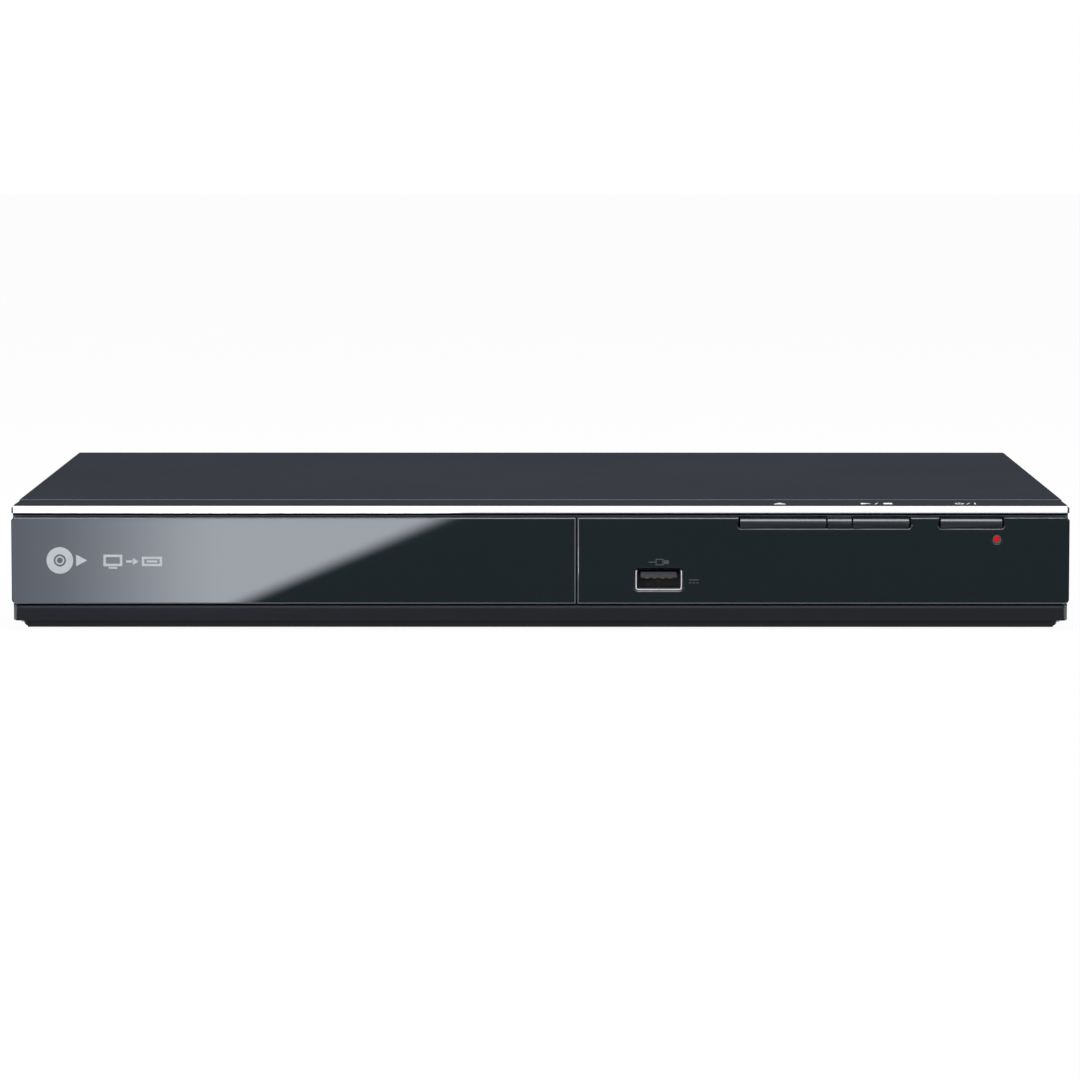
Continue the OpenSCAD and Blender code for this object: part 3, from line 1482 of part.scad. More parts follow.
module board_connectors() color("#efe9da") {
    // wire header on either side of the gap between the boards
    block([main_end - 8, link_y - 7, board_top], [main_end - 2, link_y + 7, board_top + link_h]);
    block([power_x + 2, link_y - 7, board_top], [power_x + 8, link_y + 7, board_top + link_h]);
    // flat cable sockets for the front board and the pickup
    block([front_link_x - 8, main_y + 1, board_top], [front_link_x + 8, main_y + 5, board_top + 4]);
    block([main_x + 1, pickup_link_y - 9, board_top], [main_x + 5, pickup_link_y + 9, board_top + 4]);
    block([front_link_x - 8, front_board_y + board_t, front_link_z - 2],
          [front_link_x + 8, front_board_y + board_t + 4, front_link_z + 2]);
}
front_link_x = main_x + 50;
front_link_z = front_board_z + 9;
pickup_link_y = main_y + 75;

module ribbon_cables() color("#e9e9e4") {
    // front board to main board, along the chassis floor
    along_x(front_link_x - 6, front_link_x + 6) cable_path([
        [front_board_y + board_t + 4.4, front_link_z], [front_board_y + board_t + 8, front_link_z],
        [front_board_y + board_t + 10, floor_z + 1], [main_y - 8, floor_z + 1],
        [main_y - 3, board_top + 2], [main_y + 0.6, board_top + 2],
    ], ribbon_t);
    // pickup flat cable, over the loader's rear right corner
    translate([0, pickup_link_y + 6, 0]) rotate([90, 0, 0]) linear_extrude(12) cable_path([
        [main_x + 0.6, board_top + 2], [main_x - 2.5, board_top + 2],
        [loader_x + loader_half + 1.6, board_top + 4], [loader_x + loader_half + 0.7, board_top + 8],
    ], ribbon_t);
    // power board to main board, arching between the headers
    translate([0, link_y + 4, 0]) rotate([90, 0, 0]) linear_extrude(8) {
        link_mid = (main_end + power_x) / 2;
        arch_r = board_gap / 2 + 5;
        translate([link_mid, board_top + link_h + 0.3]) difference() {
            circle(arch_r + ribbon_t);
            circle(arch_r - ribbon_t);
            translate([-40, -80]) square(80);
        }
    }
}

module hdmi_socket() color("silver") {
    y0 = rear_face_y - 11;
    along_y(y0, rear_face_y + 0.6) translate([hdmi_x, board_top + hdmi_h / 2]) difference() {
        square([hdmi_w, hdmi_h], center = true);
        polygon([[-hdmi_w / 2 + 0.5, hdmi_h / 2 - 0.5], [hdmi_w / 2 - 0.5, hdmi_h / 2 - 0.5],
                 [hdmi_w / 2 - 0.5, -0.8], [hdmi_w / 2 - 2.2, -hdmi_h / 2 + 0.5],
                 [-hdmi_w / 2 + 2.2, -hdmi_h / 2 + 0.5], [-hdmi_w / 2 + 0.5, -0.8]]);
    }
    block([hdmi_x - hdmi_w / 2 + 0.3, y0, board_top + 0.3],
          [hdmi_x + hdmi_w / 2 - 0.3, y0 + 2, board_top + hdmi_h - 0.3]);
    block([hdmi_x - 5.6, y0 + 1, board_top + 2.6], [hdmi_x + 5.6, rear_face_y - 1, board_top + 3.8]);
}

module av_housing() color("#17181a") {
    difference() {
        union() {
            block([av_x - av_w / 2, rear_inner_y - 11, board_top],
                  [av_x + av_w / 2, rear_inner_y, board_top + av_h]);
            for (i = [-1 : 1]) {
                x = av_x + i * av_pitch;
                bar_y(x, av_z, rear_inner_y - 0.5, rear_face_y + av_collar, av_barrel_d / 2 + 1.3);
            }
        }
        for (i = [-1 : 1]) {
            bar_y(av_x + i * av_pitch, av_z, rear_inner_y - 8, rear_face_y + 2, av_tail_r);
        }
    }
}

module av_barrels() color("silver") {
    for (i = [-1 : 1]) {
        difference() {
            union() {
                bar_y(av_x + i * av_pitch, av_z, rear_inner_y - 8, rear_face_y + av_collar, av_tail_r);
                bar_y(av_x + i * av_pitch, av_z, rear_face_y + av_collar, body_d / 2, av_barrel_d / 2);
            }
            bar_y(av_x + i * av_pitch, av_z, rear_inner_y - 5, body_d / 2 + 1, 1.7);
        }
    }
}

module inlet_socket() color("#1b1b1d") {
    y0 = rear_inner_y - 18;
    y1 = rear_face_y + 1.2;
    difference() {
        union() {
            block([inlet_x - inlet_w / 2, y0, board_top], [inlet_x + inlet_w / 2, y1, board_top + inlet_h]);
            block([inlet_x - inlet_w / 2 - 2, rear_inner_y - 2, board_top],
                  [inlet_x + inlet_w / 2 + 2, rear_inner_y, board_top + inlet_h + 2]);
        }
        along_y(rear_inner_y - 12, y1 + 1) translate([inlet_x, inlet_z]) {
            for (s = [-1, 1]) {
                translate([s * inlet_pin_pitch / 2, 0]) circle(4.4);
            }
            square([inlet_pin_pitch, 6.4], center = true);
        }
    }
}

module inlet_pins() color("silver") {
    for (s = [-1, 1]) {
        bar_y(inlet_x + s * inlet_pin_pitch / 2, inlet_z, rear_inner_y - 12, rear_face_y - 1.5, inlet_pin_d / 2);
    }
}

module transformer() color("#c8a24a") {
    x = power_x + 26;
    y = power_y + 58;
    block([x - 12, y - 9, board_top], [x + 12, y + 9, board_top + 3]);
    block([x - 10, y - 5, board_top], [x + 10, y + 5, board_top + 18]);
    block([x - 8, y - 8, board_top + 3], [x + 8, y + 8, board_top + 15.5]);
}

module power_heat_sink() color("silver") {
    x = power_x + power_w - 7;
    y = power_y + 24;
    block([x - 0.8, y - 14, board_top], [x + 0.8, y + 14, board_top + 22]);
    for (i = [-2 : 2]) {
        block([x, y + i * 6 - 0.6, board_top + 1], [x + 6, y + i * 6 + 0.6, board_top + 22]);
    }
    block([x - 5, y - 5, board_top + 3], [x - 0.8, y + 5, board_top + 19]);
}

module line_filter() color("#8a3b2a") {
    x = power_x + 17;
    y = power_y + 106;
    // choke, filter capacitor and fuse
    difference() {
        block([x - 9, y - 8, board_top], [x + 9, y + 8, board_top + 14]);
        block([x - 4, y - 9, board_top + 4], [x + 4, y + 9, board_top + 10]);
    }
    block([x + 14, y - 26, board_top], [x + 32, y - 18, board_top + 14]);
    bar_y(x + 34, board_top + 4, y - 14, y + 6, 2.6);
    for (i = [0, 1]) {
        block([x + 31, y - 14 + i * 16, board_top], [x + 37, y - 10 + i * 16, board_top + 2]);
    }
}

bottom_chassis();
rear_panel();
top_cover();
front_bezel();
trim_strip();
right_panel();
tray_door();
feet();
case_screws();
inner_screws();
power_lamp_lens();
open_close_key();
key_spacer();
play_stop_key();
power_key();
front_board();
tact_switches();
standby_led();
ir_receiver();
usb_shell();
usb_tongue();
usb_contacts();
loader_frame();
clamper_bridge();
clamper();
clamper_magnet();
disc_tray();
loading_motor();
motor_pulley();
drive_belt();
pulley_gear();
tray_drive_gear();
cam_slider();
lift_frame();
grommets();
traverse_plate();
spindle_motor();
spindle_rotor();
turntable();
turntable_pad();
pickup_sled();
pickup_lens();
guide_rods();
feed_motor();
feed_pinion();
feed_gear();
main_board();
main_chips();
capacitors();
board_connectors();
hdmi_socket();
av_housing();
av_barrels();
power_board();
transformer();
power_heat_sink();
line_filter();
inlet_socket();
inlet_pins();
ribbon_cables();
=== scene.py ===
"""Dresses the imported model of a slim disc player, and sets up its camera, lamps and floor."""

from __future__ import annotations

import json
import logging
import math
from copy import copy
from dataclasses import dataclass, field
from enum import Enum
from typing import Callable, Iterable, Sequence

import bpy
from mathutils import Matrix, Vector

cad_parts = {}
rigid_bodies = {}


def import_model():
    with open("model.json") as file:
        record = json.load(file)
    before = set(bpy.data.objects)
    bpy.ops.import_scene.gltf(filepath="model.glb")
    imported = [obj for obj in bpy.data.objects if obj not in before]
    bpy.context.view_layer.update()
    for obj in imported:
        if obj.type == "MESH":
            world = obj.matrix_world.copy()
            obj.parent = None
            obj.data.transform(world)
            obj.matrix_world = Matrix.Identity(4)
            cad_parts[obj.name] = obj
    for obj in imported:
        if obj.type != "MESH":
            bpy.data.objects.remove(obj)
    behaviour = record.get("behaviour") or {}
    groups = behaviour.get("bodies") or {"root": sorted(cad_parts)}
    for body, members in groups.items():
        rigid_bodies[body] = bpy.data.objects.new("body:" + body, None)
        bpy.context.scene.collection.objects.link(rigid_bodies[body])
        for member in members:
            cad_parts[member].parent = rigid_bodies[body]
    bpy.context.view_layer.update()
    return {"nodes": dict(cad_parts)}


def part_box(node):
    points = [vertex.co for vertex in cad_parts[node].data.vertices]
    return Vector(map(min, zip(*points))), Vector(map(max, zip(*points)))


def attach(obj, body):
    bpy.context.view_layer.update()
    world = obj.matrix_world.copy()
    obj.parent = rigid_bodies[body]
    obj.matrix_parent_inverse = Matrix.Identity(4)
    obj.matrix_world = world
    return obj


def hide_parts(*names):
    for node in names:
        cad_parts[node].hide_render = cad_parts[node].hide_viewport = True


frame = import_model()

# one millimetre in metres: sizes are written in millimetres, and Blender takes metres
MM = 0.001
# how far the lip's rear edge is let down under the cover's hem, in millimetres
LIP_DROP = 0.25
# vertices nearer than this to each other are one, in millimetres
MERGE = 0.002
# faces that bend less than this against each other are one, in degrees
FLAT_ANGLE = 0.4
LOG = logging.getLogger("disc_player")

Colour = tuple[float, float, float, float]
Point = tuple[float, float, float]
Socket = bpy.types.NodeSocket
FaceTest = Callable[[Vector, Vector], bool]
EdgeTest = Callable[[Vector, Vector], bool]

# a pattern that is as fine along each axis
EVEN: Point = (1.0, 1.0, 1.0)


def srgb(red: float, green: float, blue: float) -> Colour:
    """Turns a colour as seen on a screen, 0 to 255 each, into the linear one that a shader takes.

    Args:
        red: Screen value of the red part.
        green: Screen value of the green part.
        blue: Screen value of the blue part.

    Returns:
        The linear colour with full opacity.
    """
    def linear(part: float) -> float:
        """Linear value of one part."""
        share = part / 255
        return share / 12.92 if share <= 0.04045 else ((share + 0.055) / 1.055) ** 2.4

    return (linear(red), linear(green), linear(blue), 1.0)


def shaded(colour: Colour, factor: float) -> Colour:
    """The same colour, lighter or darker by a factor."""
    return (colour[0] * factor, colour[1] * factor, colour[2] * factor, 1.0)


# ---------- shader arithmetic ----------


class Value:
    """A number that runs through a shader, so that sums can be written as sums."""

    def __init__(self, graph: "Graph", socket: Socket) -> None:
        """Wraps a socket.

        Args:
            graph: Graph that the socket is in.
            socket: Output socket that carries the number.
        """
        self.graph = graph
        self.socket = socket

    def __add__(self, other: "Value | float") -> "Value":
        """Sum."""
        return self.graph.math("ADD", self, other)

    def __radd__(self, other: float) -> "Value":
        """Sum with a plain number in front."""
        return self.graph.math("ADD", other, self)

    def __sub__(self, other: "Value | float") -> "Value":
        """Difference."""
        return self.graph.math("SUBTRACT", self, other)

    def __rsub__(self, other: float) -> "Value":
        """Difference from a plain number."""
        return self.graph.math("SUBTRACT", other, self)

    def __mul__(self, other: "Value | float") -> "Value":
        """Product."""
        return self.graph.math("MULTIPLY", self, other)

    def __truediv__(self, other: "Value | float") -> "Value":
        """Quotient."""
        return self.graph.math("DIVIDE", self, other)

    def __gt__(self, other: "Value | float") -> "Value":
        """1 where it is greater, otherwise 0."""
        return self.graph.math("GREATER_THAN", self, other)

    def __lt__(self, other: "Value | float") -> "Value":
        """1 where it is less, otherwise 0."""
        return self.graph.math("LESS_THAN", self, other)

    def highest(self, other: "Value | float") -> "Value":
        """The higher of two."""
        return self.graph.math("MAXIMUM", self, other)

    def part(self) -> "Value":
        """What is left past the whole number below."""
        return self.graph.math("FRACT", self)

    def whole(self) -> "Value":
        """The whole number below."""
        return self.graph.math("FLOOR", self)

    def sine(self) -> "Value":
        """Sine of the value in radians."""
        return self.graph.math("SINE", self)

    def step(self, start: float, end: float) -> "Value":
        """Rises softly from 0 at start to 1 at end.

        Args:
            start: Value at which the result is still 0.
            end: Value from which the result is 1; less than start for a fall.

        Returns:
            The softened step.
        """
        settings = {"interpolation_type": "SMOOTHSTEP", "clamp": True}
        low, high, first, last = (start, end, 0.0, 1.0) if start < end else (end, start, 1.0, 0.0)
        values = {"Value": self, "From Min": low, "From Max": high, "To Min": first, "To Max": last}
        ranged = self.graph.node("ShaderNodeMapRange", settings, values)
        return Value(self.graph, ranged.outputs["Result"])


class Graph:
    """The nodes of one material, made from short words."""

    def __init__(self, tree: bpy.types.NodeTree) -> None:
        """Empties a node tree to fill it anew.

        Args:
            tree: Node tree of a material or of the world.
        """
        self.tree = tree
        self.tree.nodes.clear()

    def node(self, kind: str, settings: dict | None = None,
             values: dict | None = None) -> bpy.types.Node:
        """Adds a node.

        Args:
            kind: Blender's name of the node's type.
            settings: Properties of the node, set first; "stops" gives a ramp's places and colours.
            values: Numbers, colours or links of its input sockets, by name or place.

        Returns:
            The new node.
        """
        new = self.tree.nodes.new(kind)
        for key, setting in (settings or {}).items():
            if key == "stops":
                ramp = new.color_ramp.elements
                while len(ramp) < len(setting):
                    ramp.new(0.5)
                for element, (place, colour) in zip(ramp, setting):
                    element.position, element.color = place, colour
            else:
                setattr(new, key, setting)
        for key, value in (values or {}).items():
            self.feed(new.inputs[key], value)
        return new

    def feed(self, socket: Socket, value: object) -> None:
        """Sets or links one input socket.

        Args:
            socket: Input socket.
            value: A number, colour, wrapped value or output socket.
        """
        if isinstance(value, Value):
            value = value.socket
        if isinstance(value, Socket):
            self.tree.links.new(value, socket)
        else:
            socket.default_value = value

    def math(self, operation: str, *terms: Value | float) -> Value:
        """Adds one step of arithmetic.

        Args:
            operation: Blender's name of the operation.
            terms: Its one or two numbers.

        Returns:
            The result.
        """
        sum_up = self.node("ShaderNodeMath", {"operation": operation}, dict(enumerate(terms)))
        return Value(self, sum_up.outputs[0])

    def mix(self, factor: Value, first: object, second: object) -> Socket:
        """Goes from one colour to another.

        Args:
            factor: 0 for the first colour, 1 for the second.
            first: Colour or output socket.
            second: Colour or output socket.

        Returns:
            The mixed colour's socket.
        """
        # the colour sockets of a Mix node are its seventh and eighth, and its third output
        values = {0: factor, 6: first, 7: second}
        return self.node("ShaderNodeMix", {"data_type": "RGBA"}, values).outputs[2]

    def place(self) -> Socket:
        """Place on the object, in metres."""
        return self.node("ShaderNodeTexCoord").outputs["Object"]

    def axes(self) -> tuple[Value, Value, Value]:
        """Place on the object along X, Y and Z, in millimetres."""
        split = self.node("ShaderNodeSeparateXYZ", values={0: self.place()})
        return tuple(Value(self, split.outputs[i]) * (1 / MM) for i in range(3))

    def waves(self, axis: int, pitch: float) -> Value:
        """Round ribs from 0 to 1 that follow each other along an axis, a pitch in mm apart."""
        return (self.axes()[axis] * (2 * math.pi / pitch)).sine() * 0.5 + 0.5

    def noise(self, grain: float, detail: float = 2.0, stretch: Point = EVEN) -> Value:
        """Soft random mottle from 0 to 1.

        Args:
            grain: Size of one blot in millimetres.
            detail: Octaves of finer mottle.
            stretch: How many times finer it is along each axis.

        Returns:
            The mottle.
        """
        scaled = self.node("ShaderNodeVectorMath", {"operation": "MULTIPLY"},
                           {0: self.place(), 1: stretch})
        values = {"Vector": scaled.outputs[0], "Scale": 1 / (grain * MM), "Detail": detail}
        return Value(self, self.node("ShaderNodeTexNoise", {}, values).outputs["Fac"])

    def cells(self, size: float) -> tuple[Value, Value]:
        """Random cells.

        Args:
            size: Size of a cell in millimetres.

        Returns:
            Distance to the cell's middle as a share of its size, and a random number for the cell.
        """
        values = {"Vector": self.place(), "Scale": 1 / (size * MM)}
        cell = self.node("ShaderNodeTexVoronoi", {}, values)
        pick = self.node("ShaderNodeSeparateColor", values={0: cell.outputs["Color"]})
        return Value(self, cell.outputs["Distance"]), Value(self, pick.outputs[0])

    def bump(self, height: Value, rise: float) -> Socket:
        """Relief: the normal of a height from 0 to 1, where 1 stands for millimetres of rise."""
        values = {"Strength": 1.0, "Distance": rise * MM, "Height": height}
        return self.node("ShaderNodeBump", values=values).outputs["Normal"]

    def show(self, shader: bpy.types.Node) -> None:
        """Closes a material's graph with a shader."""
        self.node("ShaderNodeOutputMaterial", values={"Surface": shader.outputs[0]})

    def surface(self, values: dict) -> None:
        """Closes a material's graph with a principled shader of these socket values."""
        self.show(self.node("ShaderNodeBsdfPrincipled", values=values))

    def glow(self, colour: object, strength: float = 1.0) -> None:
        """Closes a material's graph with a plain glow of a colour, given or linked."""
        self.show(self.node("ShaderNodeEmission", values={"Color": colour, "Strength": strength}))


# ---------- finishes ----------


@dataclass(frozen=True)
class Finish:
    """What every finish shares: its name, its colour and the way to its material."""

    name: str
    colour: Colour

    def build(self, graph: Graph) -> None:
        """Fills the material's graph; each finish has its own."""
        raise NotImplementedError

    def tones(self, graph: Graph, share: Value, first: float, last: float = 1.0) -> Socket:
        """Runs from one tone of the finish's colour to another.

        Args:
            graph: Graph that it is in.
            share: 0 for the first tone, 1 for the last.
            first: Brightness of the first tone against the colour.
            last: Brightness of the last tone against the colour.

        Returns:
            The colour's socket.
        """
        return graph.mix(share, shaded(self.colour, first), shaded(self.colour, last))

    def material(self) -> bpy.types.Material:
        """Makes the material the first time, and hands it out again afterwards.

        Returns:
            The material.
        """
        # the frame brings materials named after the slots, so these have names of their own
        title = self.name + "_finish"
        known = bpy.data.materials.get(title)
        if known is None:
            known = bpy.data.materials.new(title)
            known.use_nodes = True
            self.build(Graph(known.node_tree))
        return known


@dataclass(frozen=True)
class PaintedSheet(Finish):
    """Baked paint on sheet steel, with the fine orange peel of a spray coat."""

    roughness: float = 0.6
    specular: float = 0.3
    peel: float = 0.6
    rise: float = 0.012
    drift: float = 60.0

    def build(self, graph: Graph) -> None:
        """Mottles the paint a little and gives it its peel.

        Args:
            graph: Graph to fill.
        """
        peel = graph.noise(self.peel, 3.0)
        drift = graph.noise(self.drift)
        graph.surface({
            "Base Color": self.tones(graph, drift * 0.5 + peel * 0.3, 0.93, 1.08),
            "Roughness": self.roughness - 0.06 + drift * 0.12,
            "Specular IOR Level": self.specular,
            "Normal": graph.bump(peel, self.rise),
        })


@dataclass(frozen=True)
class Moulding(Finish):
    """Moulded plastic with a spark-eroded grain."""

    roughness: float = 0.5
    grain: float = 0.35
    rise: float = 0.01
    specular: float = 0.4
    scatter: float = 0.0
    scatter_depth: float = 2.0
    flow: float = 25.0

    def build(self, graph: Graph) -> None:
        """Gives the plastic its grain, slight flow marks and polish from handling.

        Args:
            graph: Graph to fill.
        """
        grain = graph.noise(self.grain, 3.0)
        flow = graph.noise(self.flow, stretch=(1.0, 0.4, 1.0))
        graph.surface({
            "Base Color": self.tones(graph, flow * 0.6 + grain * 0.3, 0.92, 1.08),
            "Roughness": self.roughness - 0.07 + flow * 0.1 + grain * 0.06,
            "Specular IOR Level": self.specular,
            "Subsurface Weight": self.scatter,
            "Subsurface Scale": self.scatter_depth * MM,
            "Normal": graph.bump(grain, self.rise),
        })


@dataclass(frozen=True)
class GlossPanel(Finish):
    """Deep glossy plastic, polished, with hardly visible wiping marks."""

    roughness: float = 0.02
    wipe: float = 9.0
    ripple: float = 34.0
    rise: float = 0.003

    def build(self, graph: Graph) -> None:
        """Varies the polish along the wiping direction.

        Args:
            graph: Graph to fill.
        """
        wipe = graph.noise(self.wipe, 3.0, (0.25, 1.0, 1.6))
        ripple = graph.noise(self.ripple, 1.0)
        graph.surface({
            "Base Color": self.tones(graph, ripple, 0.96, 1.04),
            "Roughness": self.roughness + wipe * 0.015,
            "Normal": graph.bump(ripple, self.rise),
        })


@dataclass(frozen=True)
class Chrome(Finish):
    """Bright plated trim."""

    roughness: float = 0.025
    polish: float = 14.0

    def build(self, graph: Graph) -> None:
        """Lets the plating's polish vary along the strip.

        Args:
            graph: Graph to fill.
        """
        polish = graph.noise(self.polish, 3.0, (0.2, 1.0, 1.0))
        graph.surface({
            "Base Color": self.tones(graph, polish, 0.97),
            "Metallic": 1.0,
            "Roughness": self.roughness + polish * 0.02,
        })


@dataclass(frozen=True)
class PlatedSheet(Finish):
    """Zinc-plated steel sheet with rolling lines and a faint spangle."""

    roughness: float = 0.38
    spangle: float = 5.0
    line: float = 0.5
    rise: float = 0.004

    def build(self, graph: Graph) -> None:
        """Mixes the spangle's cells with fine rolling lines.

        Args:
            graph: Graph to fill.
        """
        lines = graph.noise(self.line, stretch=(0.04, 1.0, 1.0))
        _, pick = graph.cells(self.spangle)
        tone = pick * 0.6 + lines * 0.4
        graph.surface({
            "Base Color": self.tones(graph, tone, 0.86),
            "Metallic": 1.0,
            "Roughness": self.roughness - 0.05 + tone * 0.12,
            "Normal": graph.bump(lines, self.rise),
        })


@dataclass(frozen=True)
class BrushedMetal(Finish):
    """Drawn or ground metal with fine lines along one axis."""

    roughness: float = 0.3
    along: Point = (0.03, 1.0, 1.0)
    line: float = 0.25
    stain: float = 11.0
    rise: float = 0.003

    def build(self, graph: Graph) -> None:
        """Draws the lines out along the axis.

        Args:
            graph: Graph to fill.
        """
        lines = graph.noise(self.line, stretch=self.along)
        stain = graph.noise(self.stain, 3.0)
        graph.surface({
            "Base Color": self.tones(graph, stain * 0.5 + lines * 0.5, 0.85),
            "Metallic": 1.0,
            "Roughness": self.roughness - 0.06 + lines * 0.12,
            "Normal": graph.bump(lines, self.rise),
        })


@dataclass(frozen=True)
class Rubber(Finish):
    """Soft moulded rubber with a dusty bloom."""

    roughness: float = 0.85
    specular: float = 0.25
    grain: float = 0.5
    bloom: float = 6.0
    rise: float = 0.02

    def build(self, graph: Graph) -> None:
        """Puts a pale bloom over the grain.

        Args:
            graph: Graph to fill.
        """
        grain = graph.noise(self.grain, 3.0)
        bloom = graph.noise(self.bloom, 3.0).step(0.45, 0.75)
        graph.surface({
            "Base Color": self.tones(graph, bloom * 0.35, 1.0, 1.9),
            "Roughness": self.roughness - 0.05 + bloom * 0.1,
            "Specular IOR Level": self.specular,
            "Normal": graph.bump(grain, self.rise),
        })


@dataclass(frozen=True)
class TracedBoard(Finish):
    """Solder mask over copper traces that run in patches, with tinned vias between them."""

    trace: Colour
    tin: Colour
    bore: Colour
    patch: float = 9.0
    pitch: float = 1.27
    width: float = 0.34
    via: float = 2.6
    via_share: float = 0.28
    ring_r: float = 0.17
    hole_r: float = 0.08
    rise: float = 0.035

    def build(self, graph: Graph) -> None:
        """Lays traces along X or Y in each square patch, and sprinkles vias.

        Args:
            graph: Graph to fill.
        """
        x, y, _ = graph.axes()
        # an uneven multiple of a sine gives each patch a number of its own, and so its direction
        patch_pick = (x / self.patch).whole() * 12.9898 + (y / self.patch).whole() * 78.233
        turn = (patch_pick.sine() * 43758.5).part() > 0.5
        across = turn * x + (1.0 - turn) * y
        line = (across / self.pitch).part() < self.width
        middle, pick = graph.cells(self.via)
        free = pick > 1.0 - self.via_share
        ring = (middle < self.ring_r) * free
        hole = (middle < self.hole_r) * free
        mottle = graph.noise(3.0, 3.0)
        mask = graph.mix(line, self.colour, self.trace)
        tinned = graph.mix(ring * (1.0 - hole), mask, self.tin)
        graph.surface({
            "Base Color": graph.mix(hole, tinned, self.bore),
            "Metallic": ring * (1.0 - hole),
            "Roughness": 0.3 + mottle * 0.14,
            "Normal": graph.bump(line.highest(ring) * (1.0 - hole), self.rise),
        })


@dataclass(frozen=True)
class Laminate(Finish):
    """Tan paper laminate, bare on the upper side, with rows of soldered holes."""

    bore: Colour
    pitch: float = 2.54
    cluster: float = 7.0
    cluster_share: float = 0.38
    hole_area: float = 0.035
    specular: float = 0.3
    rise: float = 0.03

    def build(self, graph: Graph) -> None:
        """Gives the paper its fibres, and shows the tracks faintly through it.

        Args:
            graph: Graph to fill.
        """
        x, y, _ = graph.axes()
        fibre = graph.noise(0.6, 3.0, (1.0, 0.2, 1.0))
        shadow = graph.noise(13.0, 1.0).step(0.48, 0.56)
        from_x = (x / self.pitch).part() - 0.5
        from_y = (y / self.pitch).part() - 0.5
        _, pick = graph.cells(self.cluster)
        drilled = (from_x * from_x + from_y * from_y) < self.hole_area
        hole = drilled * (pick > 1.0 - self.cluster_share)
        base = self.tones(graph, shadow * 0.3 + fibre * 0.2, 1.0, 0.72)
        graph.surface({
            "Base Color": graph.mix(hole, base, self.bore),
            "Roughness": 0.55 + fibre * 0.15,
            "Specular IOR Level": self.specular,
            "Normal": graph.bump(fibre * 0.4 + (1.0 - hole), self.rise),
        })


@dataclass(frozen=True)
class Winding(Finish):
    """Enamelled wire, wound turn beside turn up the part."""

    pitch: float = 0.5
    rise: float = 0.12

    def build(self, graph: Graph) -> None:
        """Rounds each turn and varies its enamel.

        Args:
            graph: Graph to fill.
        """
        turn = graph.waves(2, self.pitch)
        enamel = graph.noise(1.5)
        graph.surface({
            "Base Color": self.tones(graph, turn * 0.7 + enamel * 0.3, 0.45),
            "Metallic": 0.8,
            "Roughness": 0.25 + enamel * 0.15,
            "Normal": graph.bump(turn, self.rise),
        })


@dataclass(frozen=True)
class Film(Finish):
    """Glossy film, tape or shrunk sleeve, with a stripe down one side where it has one."""

    stripe: Colour | None = None
    stripe_slope: tuple[float, float] = (0.21, 0.13)
    stripe_width: float = 0.16
    stripe_cover: float = 0.85
    roughness: float = 0.28
    rise: float = 0.03

    def build(self, graph: Graph) -> None:
        """Wrinkles the film and adds its stripe.

        Args:
            graph: Graph to fill.
        """
        wrinkle = graph.noise(2.2, stretch=(1.0, 1.0, 0.3))
        colour = self.tones(graph, wrinkle, 0.85, 1.12)
        if self.stripe is not None:
            x, y, _ = graph.axes()
            side = (x * self.stripe_slope[0] + y * self.stripe_slope[1]).part()
            colour = graph.mix((side < self.stripe_width) * self.stripe_cover, colour, self.stripe)
        graph.surface({
            "Base Color": colour,
            "Roughness": self.roughness - 0.05 + wrinkle * 0.12,
            "Normal": graph.bump(wrinkle, self.rise),
        })


@dataclass(frozen=True)
class FlatCable(Finish):
    """Flat cable with its separate conductors showing as ribs."""

    pitch: float = 1.0
    rise: float = 0.1

    def build(self, graph: Graph) -> None:
        """Ribs the cable across its width.

        Args:
            graph: Graph to fill.
        """
        rib = graph.waves(0, self.pitch)
        dirt = graph.noise(8.0, 3.0)
        graph.surface({
            "Base Color": self.tones(graph, rib * 0.6 + dirt * 0.4, 0.78),
            "Roughness": 0.42 + dirt * 0.12,
            "Normal": graph.bump(rib, self.rise),
        })


@dataclass(frozen=True)
class ClearLens(Finish):
    """Clear moulded or ground lens, tinted, with a soft glow from its own colour."""

    clear: float = 0.5
    glow: float = 0.0
    specular: float = 0.5

    def build(self, graph: Graph) -> None:
        """Varies the tint by a faint flow.

        Args:
            graph: Graph to fill.
        """
        flow = graph.noise(1.6)
        tint = self.tones(graph, flow, 0.85)
        graph.surface({
            "Base Color": tint,
            "Roughness": 0.06 + flow * 0.05,
            "Specular IOR Level": self.specular,
            "Transmission Weight": self.clear,
            "Emission Color": tint,
            "Emission Strength": self.glow,
        })


@dataclass(frozen=True)
class Ink(Finish):
    """Screen-printed ink, a little uneven in its cover."""

    roughness: float = 0.45
    specular: float = 0.3
    speck: float = 0.12

    def build(self, graph: Graph) -> None:
        """Thins the ink in small specks.

        Args:
            graph: Graph to fill.
        """
        speck = graph.noise(self.speck)
        graph.surface({
            "Base Color": self.tones(graph, speck.step(0.2, 0.5), 0.84),
            "Roughness": self.roughness + speck * 0.1,
            "Specular IOR Level": self.specular,
        })


